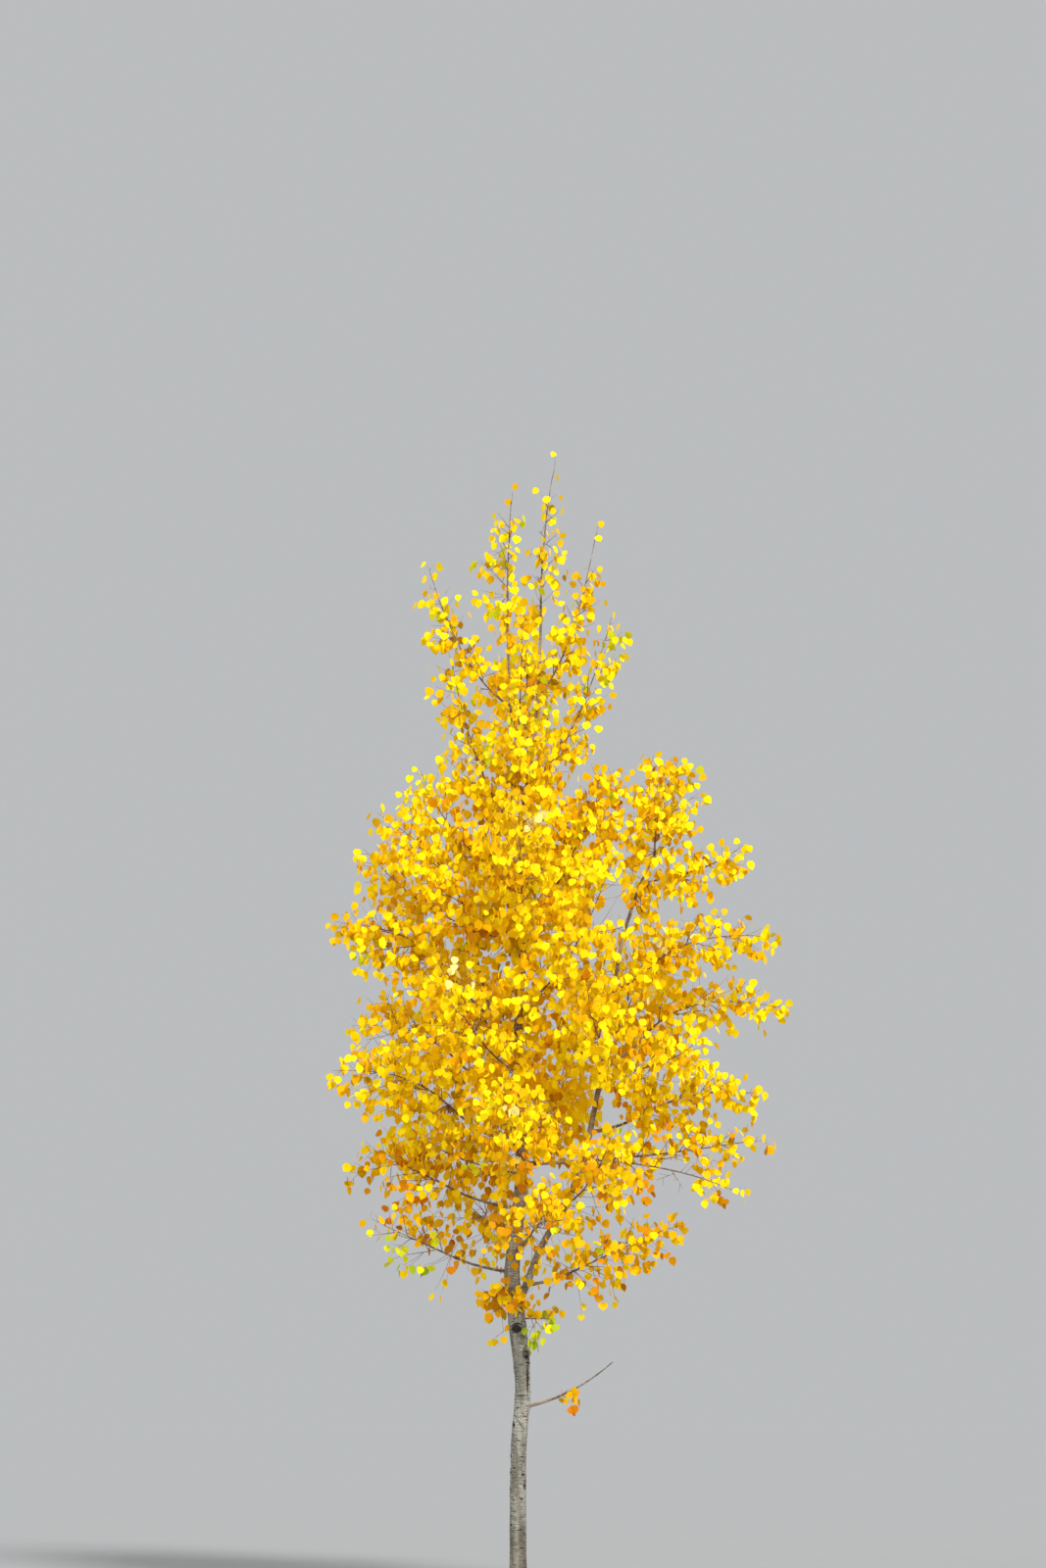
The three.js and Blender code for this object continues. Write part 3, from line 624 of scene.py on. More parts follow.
# How full of leaves the crown is, by height
FULLNESS = [
    (1600, 0.20),
    (2000, 0.33),
    (2500, 0.54),
    (2900, 0.67),
    (3300, 0.73),
    (4000, 0.78),
    (4300, 0.74),
    (4700, 0.80),
    (5100, 0.70),
    (5450, 0.58),
    (5900, 0.80),
    (6200, 0.72),
    (6400, 0.34),
    (6600, 0.11),
    (6900, 0.17),
    (7050, 0.10),
]
# The same in the two small masses just above the bare trunk, whose names start with this word
SKIRT = "skirt"
SKIRT_FULLNESS = [(1580, 0.45), (1700, 0.28), (1760, 0.32), (1800, 0.65), (1900, 0.95)]
# By which leaves stand more thickly next to the trunk, by height, and how far from it that reaches
HEART_FULLNESS = [(2300, 0.0), (2900, 0.45), (5000, 0.40), (5600, 0.0)]
HEART_REACH = 1100
# How many times as full as the list says a mass is all through
MASS_FULLNESS = {"bare_bough_sprig": 0.6, "low_right": 1.6, "low_left": 0.85, "right_sweep_fork": 1.2}
# Full and thin patches: how closely they follow each other per millimetre, by how much they differ
PATCHES = 0.0075
PATCH_SHARE = 0.60
PATCH_PHASE = 0.7

# Where one sees through the crown from the front: x, height, half width, half height
OPENINGS = (
    (560, 4260, 42, 150),
    (-854, 3429, 73, 55),
    (-234, 2432, 67, 97),
    (100, 2584, 40, 60),
    (945, 2511, 150, 175),
    (-301, 3727, 45, 50),
    (-234, 3472, 55, 49),
    (-27, 4481, 34, 80),
    (125, 2845, 36, 50),
    (-10, 1632, 82, 62),
)

# How low, how high and how near the trunk a place is, each from 0 to 1
LOW_DOWN = [(2300, 1.0), (3200, 0.0)]
HIGH_UP = [(4600, 0.0), (6600, 1.0)]
NEAR_TRUNK = [(0, 1.0), (700, 0.0)]
# How often each tint falls on a twig, and how much more or less so near the trunk, low and high. The gold,
# shade ochre and amber added near the trunk are painted shade in the heart of the crown, and the lemon
# added high up is painted light.
TINT_SHARES = {
    "yellow": (0.44, 0, -0.12, 0),
    "lemon": (0.27, 0, 0, 0.10),
    "gold": (0.22, 0.14, 0.26, 0),
    "ochre": (0.04, 0.12, 0, 0),
    "amber": (0.008, 0.03, 0.22, -0.008),
    "orange": (0.002, 0, 0.04, -0.002),
    "lime": (0.012, 0, 0, 0.10),
    "green": (0, 0, 0, 0),
    "cream": (0.010, 0, 0, 0),
}
TINTS = tuple(TINT_SHARES)
# What is left of the palest tints from halfway down the low part, where they paint less light: lemon for
# full light, the cream for highlights
LOSSES_FROM = 0.5
LOW_LOSSES = {"lemon": 0.4, "cream": 0.2}

# Where the leaves are still green: x and height of the middle of each clump, and its radius
GREEN_CLUMPS = ((-700, 2080, 150), (145, 1640, 95), (95, 1545, 65), (361, 1836, 60), (-80, 1700, 65))
GREEN_SHARES = {"lime": 0.55, "green": 0.35, "yellow": 0.10}

# Finer twigs go wherever a mass has room left
TRIES = 420
ROOM = 78  # to the nearest leaf's seat, where the crown is full
FILL_FIRST = 0.05
FILL_NARROWING = 0.48
FILL_BACK = 0.55
FILL_SPACE_GAP = -14
FILL_LIMB_GAP = 8
FILL_LIFT = 0.09
STEM_JOINTS = 24
SHOOT_JOINTS = 8
FIRST_SHOOT_JOINT = 2


class Crown:
    """What grows in one zone of the crown: tubes for its twigs, and the places of its leaves."""

    def __init__(self, seed):
        self.rng = np.random.default_rng(seed)
        self.tubes = {kind: [] for kind in TWIG_KINDS}
        self.seats, self.ways, self.tints, self.scales = [], [], [], []

    def add_tube(self, kind, curve, root_radius=None):
        """One twig along its curve, as thick at its root as its kind unless told."""
        _, steps, usual, tip_radius = TWIG_KINDS[kind]
        self.tubes[kind].append((curve.points(steps), root_radius or usual, tip_radius))

    def add_leaf(self, seat, way, tint, scale):
        """One leaf on its stalk, unless it would close an opening."""
        if in_opening(seat - UP * LEAF_HANG):
            return
        self.seats.append(seat)
        self.ways.append(way)
        self.tints.append(tint)
        self.scales.append(scale)

    def stray(self, amount):
        """A small shift in any direction."""
        return self.rng.normal(0, amount, 3)


def fullness_at(mass, point):
    """How thickly leaves stand at a point: by its height, its mass and its way from the trunk."""
    if mass["name"].startswith(SKIRT):
        return between(SKIRT_FULLNESS, point[2])
    fullness = between(FULLNESS, point[2]) * MASS_FULLNESS.get(mass["name"], 1)
    inner = max(1 - math.hypot(point[0], point[1]) / HEART_REACH, 0)
    fullness *= 1 + between(HEART_FULLNESS, point[2]) * inner
    return fullness * (1 + PATCH_SHARE * smooth_noise(point, PATCHES, PATCH_PHASE))


def in_opening(point):
    """Whether a point lies in one of the crown's openings."""
    return any(
        ((point[0] - x) / half_width) ** 2 + ((point[2] - z) / half_height) ** 2 < 1
        for x, z, half_width, half_height in OPENINGS
    )


def tint_weights(point):
    """How often each tint falls on a twig at that point."""
    low, high = between(LOW_DOWN, point[2]), between(HIGH_UP, point[2])
    inner = between(NEAR_TRUNK, math.hypot(point[0], point[1])) * (1 - high)
    # Tints of painted shade gather near the trunk, and lemon's painted light gathers high up
    weights = {
        tint: base + near * inner + down * low + up * high
        for tint, (base, near, down, up) in TINT_SHARES.items()
    }
    if low > LOSSES_FROM:
        for tint, left in LOW_LOSSES.items():
            weights[tint] *= left
    for x, z, radius in GREEN_CLUMPS:
        if math.hypot(point[0] - x, point[2] - z) < radius:
            weights = {tint: GREEN_SHARES.get(tint, 0) for tint in TINTS}
    values = np.array([weights[tint] for tint in TINTS])
    return values / values.sum()


def leafy_twig(crown, mass, kind, curve, spacing):
    """One fine twig with leaves along its outer end, on alternate sides, and one at its tip."""
    rng = crown.rng
    crown.add_tube(kind, curve)
    length = np.linalg.norm(curve.tip - curve.root)
    bare = max(1 - LEAFY_LENGTH / length, BARE_SHARE)
    fullness = fullness_at(mass, curve.tip)
    count = max(int(round(length * (1 - bare) / spacing * fullness)), 1)
    tint = int(rng.choice(len(TINTS), p=tint_weights(curve.tip)))
    turn = rng.uniform(0, 2 * math.pi)
    for k in range(count):
        share = bare + (1 - bare) * (k + rng.uniform(*WITHIN_STRETCH)) / count
        along = curve.along(share)
        for _ in range(1 + (rng.uniform() < SECOND_LEAF * fullness)):
            away = turned(square_to(along), along, turn + math.pi * k + rng.normal(0, LEAF_TURN_STRAY))
            way = unit(away + LEAF_LEAN * along)
            crown.add_leaf(curve.at(share), way, tint, rng.uniform(*LEAF_SCALES))
    crown.add_leaf(curve.at(1), curve.along(1), tint, rng.uniform(*TIP_LEAF_SCALES))


def swaying(crown, root, end, lift=0.0):
    """A curve from root to end that strays a little, and sags before it lifts its tip."""
    length = np.linalg.norm(end - root)
    middle = (root + end) / 2 - UP * lift * length + crown.stray(TWIG_STRAY * length)
    return Bend(root, middle, end)


def grow_spray(crown, mass, spray, spacing):
    """The axis of a spray, its side twigs within the spray's outline, and all their leaves."""
    rng = crown.rng
    root, along, size, side = spray["root"], spray["along"], spray["length"], spray["side"]
    length = max(size * SPRAY_REACH - LEAF_ROOM, SHORTEST_TWIG)
    axis = swaying(crown, root, root + along * length + crown.stray(TWIG_STRAY * length))
    leafy_twig(crown, mass, "spray", axis, spacing)
    normal = np.cross(side, along)
    twigs = int(round(size / SIDE_TWIG_SPACING * fullness_at(mass, root + along * size / 2)))
    for k in range(twigs):
        share = SIDE_TWIGS_FROM + SIDE_TWIGS_ALONG * (k + rng.uniform(*WITHIN_STRETCH)) / twigs
        hand = 1 if k % 2 else -1
        slant = TWIG_SLANT * rng.uniform(*SLANT_VARIETY)
        in_plane = along * math.cos(slant) + side * hand * math.sin(slant)
        out = unit(in_plane + normal * rng.normal(0, OUT_OF_PLANE))
        room = size * (WIDEST_HALF - WIDTH_LOSS * abs(share - WIDEST_AT)) - LEAF_ROOM
        reach = max(room * rng.uniform(*SIDE_TWIG_VARIETY), SHORTEST_TWIG)
        start = axis.at(share)
        leafy_twig(crown, mass, "side_twig", swaying(crown, start, start + out * reach), spacing)


def fill_twigs(crown, mass, shoots, spacing):
    """Finer twigs, each from the stem or a shoot to a place that no leaf is near yet."""
    rng, curve = crown.rng, mass["curve"]
    joints = [curve.points(STEM_JOINTS)[1:]]
    for shoot in shoots:
        joints.append(np.linspace(shoot["root"], shoot["end"], SHOOT_JOINTS)[FIRST_SHOOT_JOINT:])
    joints = np.concatenate(joints)
    share = rng.uniform(FILL_FIRST, 1, TRIES)
    around = rng.normal(size=(TRIES, 3))
    around /= np.linalg.norm(around, axis=1, keepdims=True)
    reach = mass["spread"] * (1 - FILL_NARROWING * share) * rng.uniform(0, 1, TRIES) ** (1 / 3)
    centres = np.array([curve.at(s) for s in share])
    tips = centres + around * reach[:, None]
    inside = in_own_space(mass, tips, FILL_LIMB_GAP, FILL_SPACE_GAP)
    seats = np.array(crown.seats)
    for i in np.flatnonzero(inside):
        tip = tips[i]
        room = ROOM / math.sqrt(fullness_at(mass, tip))
        if in_opening(tip) or np.linalg.norm(seats - tip, axis=1).min() < room:
            continue
        behind = tip - curve.along(share[i]) * FILL_BACK * reach[i]
        root = joints[np.linalg.norm(joints - behind, axis=1).argmin()]
        if np.linalg.norm(tip - root) < SHORTEST_TWIG:
            continue
        before = len(crown.seats)
        leafy_twig(crown, mass, "fill_twig", swaying(crown, root, tip, FILL_LIFT), spacing)
        seats = np.concatenate([seats, np.array(crown.seats[before:]).reshape(-1, 3)])


def grow_mass(crown, mass, spacing):
    """The stem, shoots, sprays, finer twigs and leaves of one mass."""
    shoots, sprays = grow(mass)
    crown.add_tube("stem", mass["curve"], mass["root_radius"])
    for shoot in shoots:
        crown.add_tube("shoot", swaying(crown, shoot["root"], shoot["end"]))
    for spray in sprays:
        grow_spray(crown, mass, spray, spacing)
    fill_twigs(crown, mass, shoots, spacing)


@functools.lru_cache(maxsize=None)
def crown_zone(first, last):
    """All that grows on the masses of one zone."""
    crown = Crown(FIRST_SEED + first)
    for mass in masses()[first:last]:
        grow_mass(crown, mass, bpy.context.scene.aspen_leaf.spacing / MM)
    return crown


# Meshes joined from arrays


def tube_arrays(tubes, sides, steps):
    """Corners and faces of many twigs of one kind, each closed at both ends."""
    paths = np.array([points for points, _, _ in tubes]) * MM
    radii = np.array([np.linspace(a, b, steps + 1) for _, a, b in tubes]) * MM
    tangents = np.gradient(paths, axis=1)
    tangents /= np.linalg.norm(tangents, axis=2, keepdims=True)
    hint = np.where(np.abs(tangents[:, :1, 2:]) > NEARLY_UPRIGHT, [1.0, 0, 0], UP)
    across = np.cross(tangents, np.broadcast_to(hint, tangents.shape))
    across /= np.linalg.norm(across, axis=2, keepdims=True)
    other = np.cross(tangents, across)
    turn = np.arange(sides) * 2 * math.pi / sides
    ring = (
        across[:, :, None] * np.cos(turn)[:, None] + other[:, :, None] * np.sin(turn)[:, None]
    ) * radii[:, :, None, None]
    corners = (paths[:, :, None] + ring).reshape(-1, 3)
    step, side = np.meshgrid(np.arange(steps), np.arange(sides), indexing="ij")
    after = (side + 1) % sides
    quads = np.stack(
        [step * sides + side, step * sides + after, (step + 1) * sides + after, (step + 1) * sides + side],
        axis=-1,
    ).reshape(-1, 4)
    bottom = np.arange(sides)[::-1]
    top = steps * sides + np.arange(sides)
    faces = []
    for k in range(len(tubes)):
        base = k * (steps + 1) * sides
        for some in (quads, bottom[None], top[None]):
            faces += (some + base).tolist()
    return corners, faces


# Corners of a blade along its length and across it, in blade lengths and widths: those of its midrib,
# those of one edge, and the triangles between them on that side
BLADE_MIDRIB = ((0.0, 0.0), (0.30, 0.0), (0.64, 0.0), (1.03, 0.0))
BLADE_EDGE = ((-0.03, 0.20), (0.10, 0.42), (0.34, 0.51), (0.62, 0.43), (0.85, 0.20))
BLADE_HALF = ((0, 4, 5), (0, 5, 1), (1, 5, 6), (1, 6, 2), (2, 6, 7), (2, 7, 8), (2, 8, 3))
BLADE_VARIETY = (0.92, 1.08)
BLADE_FOLDS = (-0.02, 0.20)
BLADE_CURL = 0.10
CURL_MIDDLE = 0.45  # of the blade's length
HANG_STRAY = 0.30
FACING_STRAY = 0.3
DOWNWARD = 0.9  # pull on a blade

STALK_VARIETY = (0.75, 1.25)
STALK_PUSH = (0.7, 1.0)  # with which it leaves the twig
STALK_SAG = 0.8  # share of the leaves' droop that their stalks take
KNEE_AT = 0.5  # of the stalk's length
KNEE_WAY = 0.75  # share of the twig's way that is left at the knee
STALK_HALF_WIDTHS = (0.00091, 0.00063, 0.00063)  # metres: at the twig, the knee and the blade


def random_sizes(rng, limits, count):
    """A column of sizes between two limits."""
    return rng.uniform(*limits, (count, 1))


def all_one_long(vectors):
    """Rows of vectors, each made one long."""
    return vectors / np.linalg.norm(vectors, axis=1, keepdims=True)


def leaf_arrays(crown, leaf):
    """Corners, faces and tints of every leaf of a zone, with its stalk."""
    rng = crown.rng
    count = len(crown.seats)
    seats, ways = np.array(crown.seats) * MM, np.array(crown.ways)
    scales = np.array(crown.scales)[:, None]
    stalk = leaf.stalk * random_sizes(rng, STALK_VARIETY, count) * np.sqrt(scales)
    reach = all_one_long(ways * random_sizes(rng, STALK_PUSH, count) - UP * leaf.droop * STALK_SAG)
    base = seats + reach * stalk
    knee = seats + (ways * KNEE_WAY + reach * (1 - KNEE_WAY)) * stalk * KNEE_AT
    stray = rng.normal(0, HANG_STRAY, (count, 3))
    hang = all_one_long(reach * (1 - leaf.droop) - UP * DOWNWARD + stray)
    azimuth = rng.uniform(0, 2 * math.pi, count)
    facing = np.stack([np.cos(azimuth), np.sin(azimuth), rng.normal(0, FACING_STRAY, count)], axis=1)
    facing = all_one_long(facing - (facing * hang).sum(1, keepdims=True) * hang)
    side = np.cross(hang, facing)
    length = leaf.leaf_length * scales * random_sizes(rng, BLADE_VARIETY, count)
    width = leaf.leaf_width * scales * random_sizes(rng, BLADE_VARIETY, count)
    fold = random_sizes(rng, BLADE_FOLDS, count)
    curl = rng.normal(0, BLADE_CURL, (count, 1))

    def corner(far, wide):
        lift = fold * abs(wide) * width + curl * (far - CURL_MIDDLE) ** 2 * length
        return base + hang * far * length + side * wide * width + facing * lift

    outline = BLADE_MIDRIB + BLADE_EDGE + tuple((far, -wide) for far, wide in BLADE_EDGE)
    corners = [corner(*place) for place in outline]
    for point, half in zip((seats, knee, base), STALK_HALF_WIDTHS):
        corners += [point + side * half, point - side * half]
    corners = np.stack(corners, axis=1)
    left = np.array(BLADE_HALF)
    right = np.where(left >= len(BLADE_MIDRIB), left + len(BLADE_EDGE), left)[:, ::-1]
    ribbon = np.array([(0, 1, 3), (0, 3, 2), (2, 3, 5), (2, 5, 4)]) + len(outline)
    pattern = np.concatenate([left, right, ribbon])
    faces = (pattern[None] + np.arange(count)[:, None, None] * corners.shape[1]).reshape(-1, 3)
    tints = np.repeat(crown.tints, len(left) + len(right)).reshape(count, -1)
    stalks = np.full((count, len(ribbon)), len(TINTS))
    return corners.reshape(-1, 3), faces.tolist(), np.concatenate([tints, stalks], axis=1).ravel()


def in_scene(name, data):
    """A new object with this mesh, lamp or camera, in the scene."""
    made = bpy.data.objects.new(name, data)
    bpy.context.scene.collection.objects.link(made)
    return made


def mesh_from(bm, name):
    """A mesh with what a bmesh holds."""
    mesh = bpy.data.meshes.new(name)
    bm.to_mesh(mesh)
    bm.free()
    return mesh


def joined_piece(name, corners, faces, materials, indices=None):
    """One object made from arrays of corners and faces."""
    mesh = bpy.data.meshes.new(name)
    mesh.from_pydata(corners.tolist(), [], faces)
    for material in materials:
        mesh.materials.append(material)
    if indices is not None:
        mesh.polygons.foreach_set("material_index", np.asarray(indices, np.int32))
    mesh.polygons.foreach_set("use_smooth", np.ones(len(mesh.polygons), bool))
    mesh.update()
    return in_scene(name, mesh)


# Bark meshes


def settle(piece, slot, *nodes):
    """Makes a piece ride on the tree and stand for its nodes, which it hides."""
    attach(piece, "root")
    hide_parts(*nodes)


# Slanting waves: how fast each rises along x, y and z, and how much a phase shifts it
WAVES = ((1.7, 0, 2.3, 1), (0, 2.9, -1.3, 1.7), (1.9, -2.7, 2.1, 2.3))


def smooth_noise(point, scale, phase):
    """A gentle wave in space, from -1 to 1."""
    x, y, z = (part * scale for part in point)
    return sum(math.sin(a * x + b * y + c * z + shift * phase) for a, b, c, shift in WAVES) / len(WAVES)


def limb_mesh(name, centres, directions, radius_at, sides):
    """A closed limb: one circle, drawn out ring by ring along its centre line."""
    bm = bmesh.new()
    across = Vector(square_to(directions[0]))

    def place(verts, i):
        nonlocal across
        centre, along = Vector(centres[i]), Vector(directions[i])
        across = (across - along * across.dot(along)).normalized()
        other = along.cross(across)
        for k, vert in enumerate(verts):
            turn = 2 * math.pi * k / sides
            out = across * math.cos(turn) + other * math.sin(turn)
            vert.co = centre + out * radius_at(i, turn, centre, out)

    place(bmesh.ops.create_circle(bm, segments=sides, radius=1.0)["verts"], 0)
    edges = list(bm.edges)
    bmesh.ops.contextual_create(bm, geom=edges)
    for i in range(1, len(centres)):
        made = bmesh.ops.extrude_edge_only(bm, edges=edges)["geom"]
        edges = [e for e in made if isinstance(e, bmesh.types.BMEdge)]
        place([v for v in made if isinstance(v, bmesh.types.BMVert)], i)
    bmesh.ops.contextual_create(bm, geom=edges)
    bmesh.ops.recalc_face_normals(bm, faces=bm.faces)
    for face in bm.faces:
        face.smooth = len(face.verts) == 4
    return in_scene(name, mesh_from(bm, name))


# How far up from the root of a stem its way out is read, in millimetres
STEM_LEAVES_AT = 60
STEM_CLEAR_AT = 190
# Half height of the swelling where a limb leaves, in root radii of that limb
STEM_COLLAR = 2.6
BOUGH_COLLAR = 2.4


def collars_on(carrier):
    """Where limbs leave this one: each place and direction, with the swelling's half height."""
    found = []
    if carrier == STEMS[0][0]:
        for _, sway, radii, _ in STEMS[1:]:
            foot = sway[0][0]
            root, ahead = sway_at(sway, foot + STEM_LEAVES_AT), sway_at(sway, foot + STEM_CLEAR_AT)
            found.append((root, unit((ahead - root) * LEVEL), radii[0][1] * STEM_COLLAR))
    for name, parent, _, _, _, _, root_radius, _ in BOUGHS:
        if parent == carrier:
            curve = limbs()[name]["curve"]
            found.append((curve.root, unit((curve.tip - curve.root) * LEVEL), root_radius * BOUGH_COLLAR))
    return found


# Marks down the trunk: height, bearing seen from above, half width, half height, how fast a mark
# bends down to its ends, and how far it falls from left to right
SCARS = (
    (1637, 261, 40, 31, 4, 0),
    (1669, 271, 56, 5.5, 13, 0),
    (1713, 273, 27, 4, 0, -1.28),
    (1496, 319, 33, 4.5, 0, 0),
    (1464, 313, 23, 11, 0, 0),
    (1428, 323, 31, 5.5, 0, 0.1),
    (1329, 311, 10, 96, 0, 0),
    (1228, 253, 49, 2.8, 0, 0),
    (1153, 236, 19, 4.5, 0, 0),
    (1059, 266, 38, 4.2, 0, 1.49),
    (1047, 214, 15, 15, 0, 0),
    (954, 265, 20, 4, 0, 0),
    (858, 202, 13, 9, 0, 0),
    (853, 298, 27, 3, 0, 0),
    (787, 238, 16, 5, 0, 0.4),
    (745, 306, 15, 9, 0, 0),
    (676, 323, 13, 18, 0, 0),
    (655, 204, 11, 7, 0, 0),
    (597, 295, 14, 6, 0, 0),
    (441, 215, 12, 6, 0, 0),
    (410, 285, 26, 3, 2, 0),
    (300, 300, 24, 4, 0, 0),
    (1020, 80, 24, 9, 6, 0),
    (1390, 150, 24, 10, 6, 0),
    (1560, 40, 24, 9, 6, 0),
    (760, 195, 20, 8, 6, 0),
    (420, 60, 22, 8, 6, 0),
    (1250, 40, 40, 3, 0, 0),
    (620, 120, 42, 3, 0, 0),
    (1790, 110, 22, 9, 6, 0),
    (2010, 300, 18, 7, 6, 0),
    (2290, 215, 15, 6, 6, 0),
)
# Rough rusty patches, told in the same way
RUST = (
    (1117, 304, 30, 42, 0, 0),
    (1330, 311, 22, 110, 0, 0),
    (1470, 318, 20, 30, 0, 0),
    (703, 328, 24, 52, 0, 0),
    (628, 260, 16, 22, 0, 0),
    (980, 140, 24, 40, 0, 0),
    (520, 20, 24, 34, 0, 0),
)


# Lumps of the bark: how closely they follow each other per metre, how much less so up the stem, phase
BARK_LUMPS = ((34, 0.30, 1.3), (85, 0.8, 4.1))
FULL_RELIEF_RADIUS = 0.03  # metres, below which relief fades
COLLAR_DROP = 4
COLLAR_END = 2.2  # half heights of the swelling
SCAR_RELIEF = 0.0034  # metres
SCAR_DIP = 0.7
SCAR_LIP_HEIGHT = 2.2  # half heights of the mark
SCAR_LIP_WIDTH = 1.15
SCAR_LIP_SHARPNESS = 6
SCAR_DIP_SHARPNESS = 4
SCAR_END = 2.5


def collar_swelling(collars, height, out):
    """How much the bark swells at a place on a stem, from the limbs that leave near it."""
    swelling = 0
    for root, way, half in collars:
        rise = (height - root[2] - COLLAR_DROP) / half
        if abs(rise) < COLLAR_END:
            facing = max(out.x * way[0] + out.y * way[1], 0)
            swelling += math.exp(-rise * rise) * facing**3
    return swelling


def with_scars(radius, height, out):
    """The trunk's radius with a lip round each mark and a dip within it."""
    for scar_height, bearing, half_width, half_height, _, _ in SCARS:
        rise = (height - scar_height) / (half_height * SCAR_LIP_HEIGHT)
        if abs(rise) < SCAR_END:
            angle = math.radians(bearing)
            facing = out.x * math.cos(angle) + out.y * math.sin(angle)
            sideways = math.acos(max(min(facing, 1), -1)) * radius / MM / (half_width * SCAR_LIP_WIDTH)
            away = math.hypot(rise, sideways)
            lip = math.exp(-SCAR_LIP_SHARPNESS * (away - 1) ** 2)
            dip = math.exp(-SCAR_DIP_SHARPNESS * away**2)
            radius += SCAR_RELIEF * (lip - SCAR_DIP * dip)
    return radius


def flare(height, turn):
    """How much the root flare adds at a height."""
    lobes = 1 - FLARE_LOBE_SHARE * (0.5 - 0.5 * math.cos(FLARE_LOBES * turn))
    return FLARE_RADIUS * math.exp(-height / FLARE_HEIGHT) * lobes


def stem_piece(stem, bark):
    """The bark of the trunk, which also has its flare and scars, or of a lesser stem."""
    name, sway, radii, sides = stem
    trunk = stem is STEMS[0]
    start, end = sway[0][0], sway[-1][0]
    heights = np.linspace(start, end, int((end - start) * MM / bark.ring_spacing) + 1)
    centres = [sway_at(sway, height) * MM for height in heights]
    collars = collars_on(name)

    def radius_at(i, turn, centre, out):
        height = heights[i]
        radius = (between(radii, height) + (flare(height, turn) if trunk else 0)) * MM
        x, y, z = centre + out * radius
        fade = min(1.0, radius / FULL_RELIEF_RADIUS)
        for closeness, squash, phase in BARK_LUMPS:
            lump = smooth_noise((x, y, z * squash), closeness, phase)
            radius += bark.relief * fade / len(BARK_LUMPS) * lump
        radius += bark.collar * fade * collar_swelling(collars, height, out)
        return with_scars(radius, height, out) if trunk else radius

    piece = limb_mesh(f"{name}_bark", centres, [UP] * len(centres), radius_at, sides)
    piece.data.materials.append(trunk_bark())
    settle(piece, "bark", name)


BOUGH_SIDES = 14
BOUGH_RING_SPACING = 12
ROOT_SWELLING = 0.5  # of its radius, by which a bough is thicker at its root
ROOT_SWELLING_LENGTH = 45
BOUGH_LUMPS = 60  # how closely they follow each other per metre
BOUGH_LUMP_REACH = 0.01
BOUGH_LUMP_SHARE = 0.07


def bough_piece(name, root_radius, tip_radius):
    """The bark of one bough."""
    curve = limbs()[name]["curve"]
    length = np.linalg.norm(curve.tip - curve.root)
    steps = int(length / BOUGH_RING_SPACING)
    shares = [i / steps for i in range(steps + 1)]

    def radius_at(i, turn, centre, out):
        share = shares[i]
        radius = root_radius + (tip_radius - root_radius) * share
        radius += ROOT_SWELLING * root_radius * math.exp(-share * length / ROOT_SWELLING_LENGTH)
        x, y, _ = centre + out * BOUGH_LUMP_REACH
        lump = smooth_noise((x, y, centre.z), BOUGH_LUMPS, turn)
        return radius * (1 + BOUGH_LUMP_SHARE * lump) * MM

    centres = [curve.at(share) * MM for share in shares]
    directions = [curve.along(share) for share in shares]
    piece = limb_mesh(f"{name}_bark", centres, directions, radius_at, BOUGH_SIDES)
    piece.data.materials.append(bough_bark())
    settle(piece, "bough_bark", name)


# Shader node groups and materials


def feed(tree, socket, value):
    """Links a value to a socket, or sets it there when it is a plain number, place or colour."""
    if isinstance(value, bpy.types.NodeSocket):
        tree.links.new(value, socket)
    elif socket.type == "RGBA":
        socket.default_value = (*value, 1.0)
    else:
        socket.default_value = value


def node_group(name, inputs, outputs):
    """A new shader node group, the values that come in, and the sockets that its masks go out by."""
    group = bpy.data.node_groups.new(name, "ShaderNodeTree")
    for label, default in inputs.items():
        kind = "NodeSocketVector" if default is ORIGIN else "NodeSocketFloat"
        socket = group.interface.new_socket(name=label, in_out="INPUT", socket_type=kind)
        socket.default_value = default
    for label in outputs:
        group.interface.new_socket(name=label, in_out="OUTPUT", socket_type="NodeSocketFloat")
    return group, group.nodes.new("NodeGroupInput").outputs, group.nodes.new("NodeGroupOutput").inputs


def maths(tree, operation, *values, clamp=False):
    """A Math node with each value linked or set."""
    node = tree.nodes.new("ShaderNodeMath")
    node.operation = operation
    node.use_clamp = clamp
    for socket, value in zip(node.inputs, values):
        feed(tree, socket, value)
    return node.outputs[0]


def product(tree, first, second):
    """Two values multiplied."""
    return maths(tree, "MULTIPLY", first, second)


def total(tree, first, second):
    """Two values added."""
    return maths(tree, "ADD", first, second)


def less(tree, first, second):
    """The second value taken from the first."""
    return maths(tree, "SUBTRACT", first, second)


def turned_over(tree, value):
    """What is left of 1."""
    return maths(tree, "SUBTRACT", 1.0, value, clamp=True)


def grading(tree, value, base, gain):
    """A value that starts at base and gains with another."""
    return total(tree, base, product(tree, value, gain))


def moved_place(tree, operation, place, other, socket=1):
    """A place that is scaled, or from which another is taken."""
    node = tree.nodes.new("ShaderNodeVectorMath")
    node.operation = operation
    feed(tree, node.inputs[0], place)
    feed(tree, node.inputs[socket], other)
    return node.outputs[0]


def axes(tree, place):
    """The three numbers of a place."""
    node = tree.nodes.new("ShaderNodeSeparateXYZ")
    feed(tree, node.inputs[0], place)
    return tuple(node.outputs)


def ramp_between(tree, value, low, high):
    """A value spread from 0 at low to 1 at high."""
    node = tree.nodes.new("ShaderNodeMapRange")
    node.interpolation_type = "SMOOTHSTEP"
    for label, number in (("Value", value), ("From Min", low), ("From Max", high)):
        feed(tree, node.inputs[label], number)
    return node.outputs["Result"]


